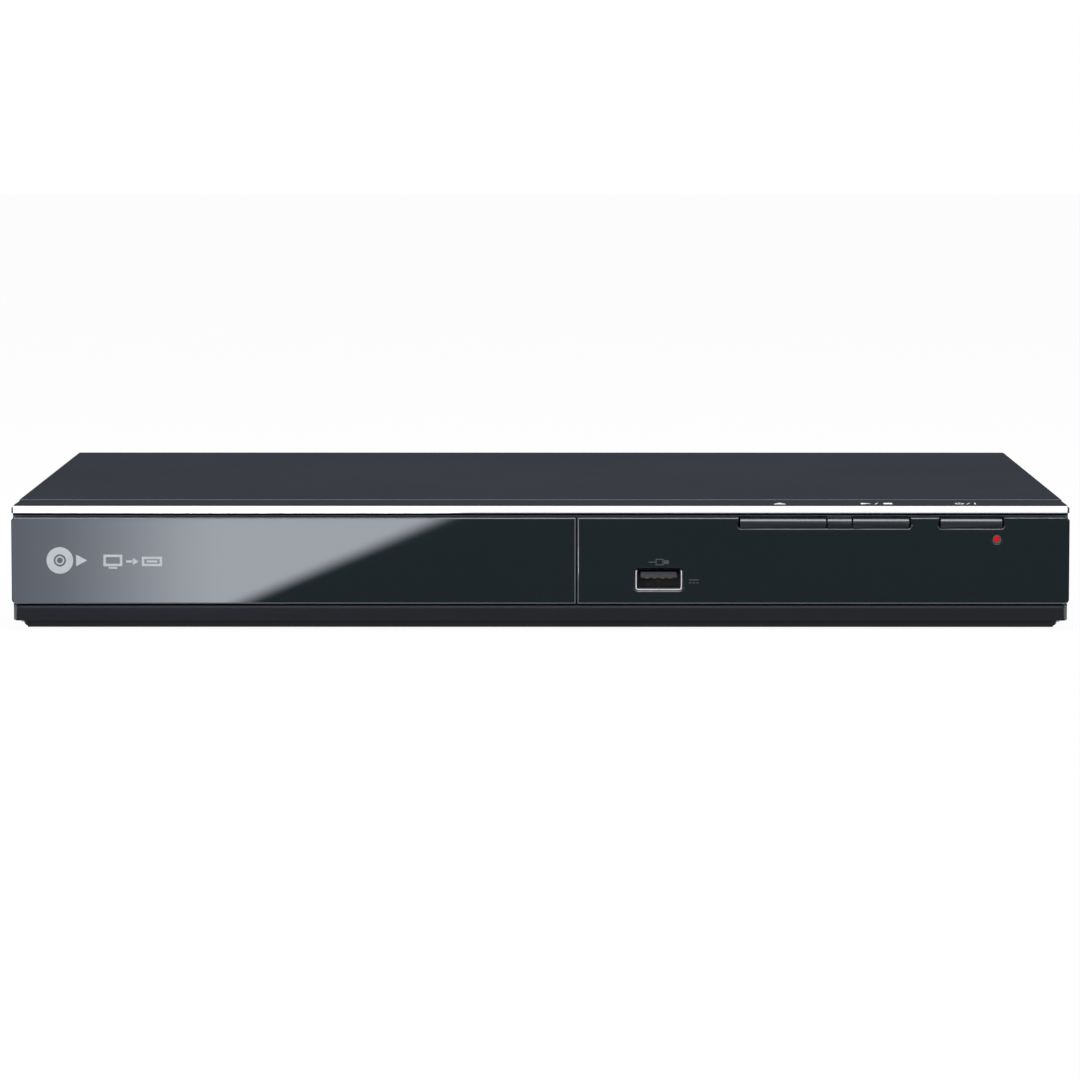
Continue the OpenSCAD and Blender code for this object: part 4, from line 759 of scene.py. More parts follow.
class Stock:
    """The finishes that the player is made in, and the colours that paint light and shade on some
    of its faces.
    """

    COVER = PaintedSheet("cover_paint", srgb(31, 34, 43), roughness=0.85, specular=0.04)
    # painted highlight: a lighter copy of the cover paint for the light on the cover's rounded
    # front edge
    COVER_EDGE_HIGHLIGHT = PaintedSheet("cover_edge", srgb(72, 78, 86), roughness=0.45, specular=0.3)
    # partly the lip's own dull finish, partly painted shade: a near shineless copy of the bezel
    # moulding that keeps the lamp above from brightening the lip's upward faces
    LIP_DULL_AND_SHADE = Moulding("lip_black", srgb(44, 45, 50), roughness=0.8, grain=0.3, specular=0.03)
    # painted shade: near black, put on the strip's top and ends, the panels' outer ends, the wall
    # right under the strip and the top of the USB rim
    PAINTED_SHADE = Moulding("seam_black", srgb(14, 14, 17), roughness=0.9, grain=0.2, specular=0.0)
    # painted light: a pale grey that brightens the shaded recess wall under the strip and the keys'
    # tops
    RECESS_PAINTED_LIGHT = Moulding(
        "recess_black", srgb(108, 118, 130), roughness=0.6, grain=0.3, specular=0.2)
    ZINC = PlatedSheet("chassis_zinc", srgb(196, 198, 200))
    REAR = PaintedSheet("rear_paint", srgb(35, 36, 39), roughness=0.55, specular=0.3)
    BEZEL = Moulding("bezel_black", srgb(32, 33, 39), roughness=0.45, grain=0.3, specular=0.15)
    # painted shade: a darker copy of the bezel moulding for the low plinth under the skirt
    PLINTH_SHADE = Moulding("plinth_black", srgb(25, 26, 30), roughness=0.5, grain=0.3, specular=0.2)
    CHROME = Chrome("trim_chrome", srgb(250, 250, 252))
    GLOSS = GlossPanel("gloss_black", (0.0078, 0.0136, 0.016, 1.0))
    # painted highlight: a lighter copy of the gloss for the light lines along the panels' rounded
    # rims
    GLOSS_EDGE_HIGHLIGHT = GlossPanel("gloss_edge", (0.14, 0.145, 0.16, 1.0))
    # painted highlight: a lighter copy of the gloss for the light line along the lower rim of the
    # keys' notch
    NOTCH_EDGE_HIGHLIGHT = GlossPanel("notch_edge", (0.075, 0.078, 0.086, 1.0))
    KEY = Moulding(
        "key_black", srgb(31, 32, 37), roughness=0.16, grain=0.6, rise=0.002, specular=0.5)
    LAMP = ClearLens("lamp_red", srgb(200, 24, 20), clear=0.1, glow=0.25, specular=0.12)
    LAMP_RING = Moulding("lamp_ring_grey", srgb(96, 96, 98), roughness=0.4)
    FOOT = Rubber("foot_rubber", srgb(26, 26, 28))
    BLACK_SCREW = BrushedMetal("screw_black", srgb(58, 58, 62), roughness=0.42, along=EVEN)
    YELLOW_SCREW = BrushedMetal("screw_zinc", srgb(214, 196, 140), roughness=0.3, along=EVEN)
    GREEN_BOARD = TracedBoard(
        "board_green", srgb(16, 70, 38), trace=srgb(30, 98, 56), tin=srgb(196, 198, 190),
        bore=srgb(12, 14, 12))
    TAN_BOARD = Laminate("board_tan", srgb(186, 148, 92), bore=srgb(30, 24, 16))
    EPOXY = Moulding("part_black", srgb(30, 30, 32), roughness=0.55, grain=0.2)
    STEEL = BrushedMetal("steel", srgb(208, 208, 210))
    TURNED_STEEL = BrushedMetal(
        "turned_steel", srgb(214, 214, 216), roughness=0.2, along=(1.0, 0.05, 1.0))
    GOLD = BrushedMetal("gold", srgb(226, 182, 88), roughness=0.22, along=EVEN)
    WHITE_PLASTIC = Moulding("white_plastic", srgb(226, 224, 216), roughness=0.42, scatter=0.1)
    # painted highlight: a lighter copy of the bezel moulding for the light on the skirt's rounded
    # ends
    SKIRT_END_HIGHLIGHT = Moulding("skirt_end", srgb(82, 86, 94), roughness=0.4, grain=0.3, specular=0.3)
    # painted highlight: a near white moulding without shine that stands in for the bright
    # reflection on the USB shell's plated rim
    USB_RIM_HIGHLIGHT = Moulding("plated_rim", srgb(222, 223, 227), roughness=0.4, grain=0.1)
    TONGUE = Moulding("tongue_grey", srgb(62, 64, 70), roughness=0.55, grain=0.25)
    GREY_PLASTIC = Moulding("grey_plastic", srgb(76, 79, 84), roughness=0.55, grain=0.25)
    LOADER_PLASTIC = Moulding("loader_plastic", srgb(38, 39, 42), roughness=0.45, grain=0.4)
    AMBER_PLASTIC = Moulding("amber_plastic", srgb(214, 160, 62), roughness=0.4, scatter=0.1)
    BLACK_RUBBER = Rubber("rubber_black", srgb(20, 20, 20))
    COPPER = Winding("copper", srgb(196, 116, 66))
    LENS = ClearLens("lens_glass", srgb(150, 200, 236), clear=0.75)
    SLEEVE = Film("sleeve_blue", srgb(34, 40, 74), stripe=srgb(176, 182, 196))
    CABLE = FlatCable("cable_white", srgb(224, 224, 218))
    MAGNET = PaintedSheet("magnet", srgb(78, 78, 80), roughness=0.35, specular=0.5)
    ALUMINIUM = BrushedMetal("aluminium", srgb(198, 200, 206), along=(1.0, 1.0, 0.03))
    TAPE = Film("tape_yellow", srgb(222, 184, 62))
    FERRITE = Moulding("ferrite_grey", srgb(44, 44, 48), roughness=0.6, grain=0.8, rise=0.03)
    TIN = BrushedMetal("tin", srgb(206, 206, 202), roughness=0.35, along=EVEN)
    WHITE_INK = Ink("white_ink", srgb(236, 236, 238))
    DOOR_INK = Ink("door_ink", srgb(196, 199, 204))
    FAINT_INK = Ink("faint_ink", srgb(74, 76, 82))
    YELLOW_RING = Moulding("ring_yellow", srgb(228, 190, 30), roughness=0.4)
    WHITE_RING = Moulding("ring_white", srgb(230, 230, 226), roughness=0.4)
    RED_RING = Moulding("ring_red", srgb(190, 30, 28), roughness=0.4)
    CERAMIC = Moulding("ceramic_tan", srgb(196, 160, 108), roughness=0.5)


CARRIED_OVER: dict[Finish, tuple[str, ...]] = {
    Stock.ZINC: ("bottom_chassis", "clamper_bridge", "traverse_plate"),
    Stock.REAR: ("rear_panel",),
    Stock.COVER: ("top_cover",),
    Stock.BEZEL: ("front_bezel",),
    Stock.CHROME: ("trim_strip",),
    Stock.GLOSS: ("right_panel", "tray_door"),
    Stock.FOOT: ("feet",),
    Stock.BLACK_SCREW: ("case_screws",),
    Stock.YELLOW_SCREW: ("inner_screws",),
    Stock.LAMP: ("power_lamp_lens", "standby_led"),
    Stock.KEY: ("open_close_key", "key_spacer", "play_stop_key", "power_key"),
    Stock.GREEN_BOARD: ("front_board", "main_board"),
    Stock.TAN_BOARD: ("power_board",),
    Stock.EPOXY: (
        "tact_switches", "ir_receiver", "usb_tongue", "main_chips", "av_housing", "inlet_socket"),
    Stock.STEEL: ("usb_shell", "loading_motor", "feed_motor", "hdmi_socket"),
    Stock.TURNED_STEEL: ("spindle_rotor", "guide_rods", "av_barrels", "inlet_pins"),
    Stock.GOLD: ("usb_contacts", "motor_pulley", "feed_pinion"),
    Stock.WHITE_PLASTIC: (
        "loader_frame", "clamper", "pulley_gear", "tray_drive_gear", "feed_gear",
        "board_connectors"),
    Stock.MAGNET: ("clamper_magnet",),
    Stock.LOADER_PLASTIC: ("disc_tray", "turntable"),
    Stock.BLACK_RUBBER: ("drive_belt", "grommets", "turntable_pad"),
    Stock.AMBER_PLASTIC: ("cam_slider",),
    Stock.GREY_PLASTIC: ("lift_frame", "pickup_sled"),
    Stock.COPPER: ("spindle_motor", "line_filter"),
    Stock.LENS: ("pickup_lens",),
    Stock.SLEEVE: ("capacitors",),
    Stock.TAPE: ("transformer",),
    Stock.ALUMINIUM: ("power_heat_sink",),
    Stock.CABLE: ("ribbon_cables",),
}


def dress_carried_over() -> None:
    """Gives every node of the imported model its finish."""
    for finish, nodes in CARRIED_OVER.items():
        for name in nodes:
            for place in frame["nodes"][name].material_slots:
                place.link = "OBJECT"
                place.material = finish.material()
    LOG.info("dressed %d nodes", sum(len(nodes) for nodes in CARRIED_OVER.values()))


# ---------- modelling ----------


class Pick(Enum):
    """What a selection is made of."""

    FACES = (False, False, True)
    EDGES = (False, True, False)


def near(value: float, target: float, slack: float = 0.02) -> bool:
    """Whether two lengths in metres agree to within a slack in millimetres."""
    return abs(value - target) < slack * MM


def along_y(plane: float, slack: float = 0.02) -> EdgeTest:
    """Test for edges that lie at a place along Y in metres, to within a slack in millimetres."""
    return lambda a, b: near(a.y, plane, slack) and near(b.y, plane, slack)


def corners(node: str) -> tuple[Vector, Vector]:
    """Lowest and highest corners of a node at rest, in metres."""
    low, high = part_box(node)
    return Vector(low), Vector(high)


def middle_of(node: str) -> Vector:
    """Middle of a node's box at rest, in millimetres."""
    low, high = corners(node)
    return (low + high) / 2 / MM


def turned(axis: str) -> Matrix:
    """Turn that takes the Z axis to a named one, such as "+Y"."""
    return {
        "+Z": Matrix.Identity(4),
        "+Y": Matrix.Rotation(math.pi, 4, "Z") @ Matrix.Rotation(math.pi / 2, 4, "X"),
        "-Y": Matrix.Rotation(math.pi / 2, 4, "X"),
        "+X": Matrix.Rotation(math.pi / 2, 4, "Y"),
    }[axis]


def shift(x: float = 0.0, y: float = 0.0, z: float = 0.0) -> Matrix:
    """Move by millimetres."""
    return Matrix.Translation((x * MM, y * MM, z * MM))


def spun(degrees: float) -> Matrix:
    """Turn about the upright axis through the origin."""
    return Matrix.Rotation(math.radians(degrees), 4, "Z")


def merge_doubles() -> None:
    """Edit-mode tool that makes one of vertices that lie on each other."""
    bpy.ops.mesh.remove_doubles(threshold=MERGE * MM)


def merge_flat() -> None:
    """Edit-mode tool that makes one of faces that lie in one plane."""
    bpy.ops.mesh.dissolve_limited(angle_limit=math.radians(FLAT_ANGLE))


def face_outwards() -> None:
    """Edit-mode tool that turns every face's front outwards."""
    bpy.ops.mesh.normals_make_consistent(inside=False)


class Piece:
    """A mesh that is modelled by hand tools and then joins the player.

    Attributes:
        flat_area: Faces of more square millimetres than this are shaded flat.
        ridge_cosine: Faces whose normals' product is less than this meet in a ridge.
    """

    flat_area = 60.0
    ridge_cosine = 0.996

    def __init__(self, name: str, obj: bpy.types.Object) -> None:
        """Takes over an object.

        Args:
            name: Name of the piece.
            obj: Its Blender object.
        """
        self.obj = obj
        self.obj.name = self.obj.data.name = name
        self.obj.data.materials.clear()

    @staticmethod
    def alone(obj: bpy.types.Object | None = None) -> None:
        """Deselects everything, and then selects one object, if any is given.

        Args:
            obj: Object to select.
        """
        for other in bpy.context.view_layer.objects:
            other.select_set(False)
        if obj is not None:
            obj.select_set(True)
            bpy.context.view_layer.objects.active = obj

    @classmethod
    def cube(cls, name: str, low: Sequence[float], high: Sequence[float]) -> "Piece":
        """Starts from a block.

        Args:
            name: Name of the piece.
            low: Lowest corner in millimetres.
            high: Highest corner in millimetres.

        Returns:
            The piece.
        """
        cls.alone()
        middle = [(a + b) / 2 * MM for a, b in zip(low, high)]
        bpy.ops.mesh.primitive_cube_add(size=1, location=middle)
        bpy.context.object.scale = [(b - a) * MM for a, b in zip(low, high)]
        bpy.ops.object.transform_apply(location=True, rotation=True, scale=True)
        return cls(name, bpy.context.object)

    @classmethod
    def rod(cls, name: str, base: Sequence[float], axis: str, radius: float, length: float,
            sides: int) -> "Piece":
        """Starts from a round bar.

        Args:
            name: Name of the piece.
            base: Middle of its base in millimetres.
            axis: Direction in which it stands on its base, such as "+Z".
            radius: Radius in millimetres.
            length: Length in millimetres.
            sides: Number of sides.

        Returns:
            The piece.
        """
        cls.alone()
        bpy.ops.mesh.primitive_cylinder_add(
            vertices=sides, radius=radius * MM, depth=length * MM,
            location=(0, 0, length * MM / 2))
        piece = cls(name, bpy.context.object)
        bpy.ops.object.transform_apply(location=True, rotation=True, scale=True)
        return piece.move(Matrix.Translation(Vector(base) * MM) @ turned(axis))

    @classmethod
    def disc(cls, name: str, middle: Sequence[float], axis: str, radius: float,
             sides: int) -> "Piece":
        """Starts from a flat filled circle.

        Args:
            name: Name of the piece.
            middle: Its middle in millimetres.
            axis: Direction that it faces, such as "-Y".
            radius: Radius in millimetres.
            sides: Number of sides.

        Returns:
            The piece.
        """
        cls.alone()
        bpy.ops.mesh.primitive_circle_add(vertices=sides, radius=radius * MM, fill_type="NGON")
        flat = cls(name, bpy.context.object)
        return flat.move(Matrix.Translation(Vector(middle) * MM) @ turned(axis))

    @classmethod
    def square(cls, name: str, axis: str) -> "Piece":
        """Starts from a flat square of 1 mm about the origin that faces along an axis."""
        turn = Matrix.Rotation(math.pi / 4, 4, axis[1])
        return cls.disc(name, (0, 0, 0), axis, math.sqrt(0.5), 4).move(turn)

    @classmethod
    def copy_of(cls, name: str, node: str) -> "Piece":
        """Starts from a node's own shape, with its loose triangles merged into whole faces.

        Args:
            name: Name of the piece.
            node: Node to copy.

        Returns:
            The piece.
        """
        cls.alone()
        obj = bpy.data.objects.new(name, frame["nodes"][node].data.copy())
        bpy.context.scene.collection.objects.link(obj)
        piece = cls(name, obj).choose(Pick.FACES).edit(merge_doubles)
        return piece.choose(Pick.FACES).edit(merge_flat)

    @classmethod
    def arc(cls, name: str, middle: Sequence[float], low: tuple[float, float],
            high: tuple[float, float], start: float, sweep: float, steps: int) -> "Piece":
        """Sweeps an upright rectangle round a middle.

        Args:
            name: Name of the piece.
            middle: Middle of the sweep in millimetres.
            low: Radius and height of the rectangle's inner lower corner.
            high: Radius and height of its outer upper corner.
            start: Angle of the first end in degrees, from +X.
            sweep: Angle between the ends in degrees.
            steps: Number of faces along the sweep.

        Returns:
            The piece.
        """
        bar = cls.square(name, "-Y")
        bar.move(spun(start) @ shift((low[0] + high[0]) / 2, 0, (low[1] + high[1]) / 2)
                 @ Matrix.Diagonal((high[0] - low[0], 1, high[1] - low[1], 1)))
        bar.choose(Pick.FACES).edit(
            lambda: bpy.ops.mesh.spin(
                steps=steps, angle=math.radians(sweep), center=(0, 0, 0), axis=(0, 0, 1)),
            lambda: bpy.ops.mesh.select_all(action="SELECT"),
            merge_doubles,
            face_outwards)
        return bar.move(Matrix.Translation(Vector(middle) * MM))

    @classmethod
    def band(cls, name: str, middle: Sequence[float], axis: str, radius: float, width: float,
             height: float, sides: int = 64) -> "Piece":
        """Makes a closed flat ring with rounded upper rims.

        Args:
            name: Name of the piece.
            middle: Middle of its base in millimetres.
            axis: Direction in which it stands on its base.
            radius: Outer radius in millimetres.
            width: Radial width in millimetres.
            height: Height in millimetres.
            sides: Number of sides.

        Returns:
            The piece.
        """
        def upper_rim(a: Vector, b: Vector) -> bool:
            """Whether an edge runs round the ring on its top."""
            on_top = near(a.z, height * MM) and near(b.z, height * MM)
            return on_top and near(a.xy.length, b.xy.length, 0.01)

        ring = cls.disc(name, (0, 0, 0), "+Z", radius, sides)
        ring.choose(Pick.FACES).inset(width).delete_faces()
        ring.choose(Pick.FACES).extrude((0, 0, height))
        ring.bevel(min(width, height) * 0.3, 2, upper_rim)
        return ring.move(Matrix.Translation(Vector(middle) * MM) @ turned(axis))

    def choose(self, kind: Pick, test: FaceTest | EdgeTest | None = None) -> "Piece":
        """Selects faces or edges.

        Args:
            kind: What to select.
            test: Takes a face's middle and normal, or an edge's two ends; all are taken without it.

        Returns:
            The piece itself.
        """
        self.alone(self.obj)
        mesh = self.obj.data
        bpy.context.tool_settings.mesh_select_mode = kind.value
        for group in (mesh.vertices, mesh.edges, mesh.polygons):
            group.foreach_set("select", [False] * len(group))
        if kind is Pick.FACES:
            for face in mesh.polygons:
                face.select = test is None or test(face.center, face.normal)
        else:
            ridges = self.ridges()
            for edge in mesh.edges:
                ends = [mesh.vertices[i].co for i in edge.vertices]
                edge.select = edge.key in ridges and (test is None or test(*ends))
        return self

    def ridges(self) -> set[tuple[int, int]]:
        """Edges at which the surface bends or ends, each as its two ends' numbers."""
        sides: dict[tuple[int, int], list[Vector]] = {}
        for face in self.obj.data.polygons:
            for key in face.edge_keys:
                sides.setdefault(key, []).append(face.normal)
        return {key for key, found in sides.items()
                if len(found) != 2 or found[0].dot(found[1]) < self.ridge_cosine}

    def edit(self, *tools: Callable[[], object]) -> "Piece":
        """Runs edit-mode tools on what is selected.

        Args:
            tools: Tools to run in order.

        Returns:
            The piece itself.
        """
        bpy.ops.object.mode_set(mode="EDIT")
        for tool in tools:
            tool()
        bpy.ops.object.mode_set(mode="OBJECT")
        return self

    def inset(self, width: float) -> "Piece":
        """Insets the selected faces by a width in millimetres."""
        return self.edit(lambda: bpy.ops.mesh.inset(thickness=width * MM, depth=0))

    def extrude(self, offset: Sequence[float], shrink: float = 1.0) -> "Piece":
        """Pulls the selected faces out.

        Args:
            offset: Way in millimetres.
            shrink: Size of the pulled faces against what they were.

        Returns:
            The piece itself.
        """
        way = tuple(Vector(offset) * MM)
        tools = [lambda: bpy.ops.mesh.extrude_region_move(TRANSFORM_OT_translate={"value": way})]
        if shrink != 1.0:
            tools.append(lambda: bpy.ops.transform.resize(value=(shrink, shrink, shrink)))
        return self.edit(*tools)

    def cut(self, height: float) -> "Piece":
        """Cuts new edges where the level plane at a height in millimetres passes."""
        return self.choose(Pick.FACES).edit(
            lambda: bpy.ops.mesh.bisect(plane_co=(0, 0, height * MM), plane_no=(0, 0, 1)))

    def nudge(self, z: float) -> "Piece":
        """Moves what is selected up by millimetres."""
        return self.edit(lambda: bpy.ops.transform.translate(value=(0, 0, z * MM)))

    def delete_faces(self) -> "Piece":
        """Deletes the selected faces."""
        return self.edit(lambda: bpy.ops.mesh.delete(type="FACE"))

    def round_through(self, width: float, test: EdgeTest, planes: Sequence[float]) -> "Piece":
        """Rounds edges that run through a plate, with the plate's two flat faces open meanwhile.

        Args:
            width: Width of the rounding in millimetres.
            test: Takes an edge's two ends.
            planes: Where the two faces lie along Y, in metres.

        Returns:
            The piece itself.
        """
        def flat(c: Vector, n: Vector) -> bool:
            """Whether a face is one of the flat ones."""
            return abs(n.y) > 0.99 and any(near(c.y, plane) for plane in planes)

        self.choose(Pick.FACES, flat).edit(
            lambda: bpy.ops.mesh.delete(type="ONLY_FACE"),
            # what is left of the old cuts across the faces belongs to no face, and goes too
            lambda: bpy.ops.mesh.select_all(action="SELECT"),
            lambda: bpy.ops.mesh.delete_loose(use_verts=True, use_edges=True, use_faces=False))
        self.bevel(width, 5, test)
        for plane in planes:
            self.choose(Pick.EDGES, along_y(plane)).edit(lambda: bpy.ops.mesh.fill(use_beauty=True))
        return self.choose(Pick.FACES).edit(face_outwards, merge_flat)

    def bevel(self, width: float, segments: int, test: EdgeTest) -> "Piece":
        """Rounds edges.

        Args:
            width: Width in millimetres.
            segments: Faces across the rounding.
            test: Takes an edge's two ends.

        Returns:
            The piece itself.
        """
        return self.choose(Pick.EDGES, test).edit(lambda: bpy.ops.mesh.bevel(
            offset=width * MM, offset_type="OFFSET", segments=segments, profile=0.5, affect="EDGES",
            clamp_overlap=False, harden_normals=False))

    def modifier(self, kind: str, **settings: object) -> "Piece":
        """Adds a modifier and applies it.

        Args:
            kind: Blender's name of the modifier's type.
            settings: Its properties.

        Returns:
            The piece itself.
        """
        self.alone(self.obj)
        new = self.obj.modifiers.new(kind.lower(), kind)
        for key, setting in settings.items():
            setattr(new, key, setting)
        bpy.ops.object.modifier_apply(modifier=new.name)
        return self

    def carve(self, low: Sequence[float], high: Sequence[float]) -> "Piece":
        """Takes a block out of the piece, from its lowest to its highest corner in millimetres."""
        block = Piece.cube(self.obj.name + "_block", low, high).obj
        self.modifier("BOOLEAN", operation="DIFFERENCE", solver="EXACT", object=block)
        bpy.data.meshes.remove(block.data)
        return self

    def soften(self, width: float, segments: int, angle: float = 35.0) -> "Piece":
        """Rounds every edge sharper than an angle in degrees, by a width in millimetres."""
        return self.modifier("BEVEL", width=width * MM, segments=segments, limit_method="ANGLE",
                             angle_limit=math.radians(angle), use_clamp_overlap=True)

    def smooth(self, angle: float) -> "Piece":
        """Shades it smooth, apart from edges sharper than an angle and from large flat faces.

        Args:
            angle: The angle in degrees.

        Returns:
            The piece itself.
        """
        self.alone(self.obj)
        bpy.ops.object.shade_smooth_by_angle(angle=math.radians(angle))
        self.modifier("WEIGHTED_NORMAL", keep_sharp=True)
        mesh = self.obj.data
        normals = [corner.vector.copy() for corner in mesh.corner_normals]
        for face in mesh.polygons:
            if face.area > self.flat_area * MM * MM:
                for index in face.loop_indices:
                    normals[index] = face.normal.copy()
        mesh.normals_split_custom_set(normals)
        return self

    def move(self, matrix: Matrix) -> "Piece":
        """Moves the mesh itself by a matrix."""
        self.obj.data.transform(matrix)
        return self

    def paint(self, finish: Finish, test: FaceTest) -> "Piece":
        """Gives some faces a finish of their own.

        Args:
            finish: Finish of those faces.
            test: Takes a face's middle and normal.

        Returns:
            The piece itself.
        """
        mesh = self.obj.data
        if not mesh.materials:
            mesh.materials.append(None)
        mesh.materials.append(finish.material())
        for face in mesh.polygons:
            if test(face.center, face.normal):
                face.material_index = len(mesh.materials) - 1
        return self

    def join(self, *others: "Piece") -> "Piece":
        """Takes other pieces into this one.

        Args:
            others: Pieces that end in this one.

        Returns:
            The piece itself.
        """
        self.alone(self.obj)
        for other in others:
            other.obj.select_set(True)
        if others:
            bpy.ops.object.join()
        return self

    def repeat(self, moves: Iterable[Matrix]) -> "Piece":
        """Copies it to other places, and takes the copies in.

        Args:
            moves: One matrix for each copy; the first is where the piece itself goes.

        Returns:
            The piece itself.
        """
        first, *rest = moves
        copies = [self.twin().move(matrix) for matrix in rest]
        return self.move(first).join(*copies)

    def twin(self) -> "Piece":
        """A second piece with a mesh of its own and the same shape and finishes."""
        other = copy(self)
        other.obj = self.obj.copy()
        other.obj.data = self.obj.data.copy()
        bpy.context.scene.collection.objects.link(other.obj)
        return other

    def done(self, body: str, slot: str, finish: Finish, replaces: Sequence[str] = ()) -> "Piece":
        """Hands the finished piece over to the player.

        Args:
            body: Body that it moves with.
            slot: Name of the record's material slot; not used.
            finish: Its finish.
            replaces: Nodes that it stands for.

        Returns:
            The piece itself.
        """
        mesh = self.obj.data
        if mesh.materials:
            mesh.materials[0] = finish.material()
        else:
            mesh.materials.append(finish.material())
        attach(self.obj, body)
        if replaces:
            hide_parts(*replaces)
        LOG.info("%s: %d faces on %s", self.obj.name, len(mesh.polygons), body)
        return self


class Marks:
    """Flat printed signs, drawn in a plane of their own and then laid on a face.

    Every size and place is in millimetres.
    """

    thickness = 0.03

    def __init__(self, name: str) -> None:
        """Starts an empty print.

        Args:
            name: Name of the piece that it becomes.
        """
        self.name = name
        self.parts: list[Piece] = []

    def keep(self, piece: Piece) -> "Marks":
        """Thickens a flat part upwards and keeps it."""
        piece.choose(Pick.FACES).extrude((0, 0, self.thickness))
        self.parts.append(piece)
        return self

    def bar(self, x: float, y: float, width: float, height: float, lean: float = 0.0) -> "Marks":
        """Adds a filled bar.

        Args:
            x: Middle across.
            y: Middle up.
            width: Width.
            height: Height.
            lean: How far the top is moved to the right.

        Returns:
            The print itself.
        """
        stretch = Matrix.Diagonal((width, height, 1, 1))
        slant = Matrix.Identity(4)
        slant[0][1] = lean / height
        return self.keep(Piece.square(self.name, "+Z").move(shift(x, y) @ slant @ stretch))

    def triangle(self, x: float, y: float, size: float, height: float,
                 turn: float = 0.0) -> "Marks":
        """Adds a filled triangle that points up, or is turned by some degrees.

        Args:
            x: Middle across.
            y: Middle up.
            size: Length of its foot.
            height: Height over its foot.
            turn: Its turn in degrees, positive to the left.

        Returns:
            The print itself.
        """
        piece = Piece.disc(self.name, (0, 0, 0), "+Z", 1, 3)
        # a triangle in a circle of radius 1 is 1.5 high, and its middle is 0.25 above the circle's
        stretch = Matrix.Diagonal((size / math.sqrt(3), height / 1.5, 1, 1))
        return self.keep(piece.move(shift(x, y) @ spun(turn) @ stretch @ shift(0, -0.25)))

    def ring(self, x: float, y: float, radius: float, line: float, sides: int = 40) -> "Marks":
        """Adds a ring of an outer radius and a line width."""
        piece = Piece.disc(self.name, (x, y, 0), "+Z", radius, sides)
        piece.choose(Pick.FACES).inset(line)
        return self.keep(piece.delete_faces())

    def outline(self, x: float, y: float, width: float, height: float, line: float) -> "Marks":
        """Adds an open rectangle of a line width."""
        piece = Piece.square(self.name, "+Z")
        piece.move(shift(x, y) @ Matrix.Diagonal((width, height, 1, 1)))
        piece.choose(Pick.FACES).inset(line)
        return self.keep(piece.delete_faces())

    def lay(self, matrix: Matrix) -> Piece:
        """Joins the parts and lays them on their face.

        Args:
            matrix: Takes the print's plane to the face.

        Returns:
            The print as one piece.
        """
        first, *rest = self.parts
        return first.join(*rest).move(matrix)


# ---------- cabinet ----------


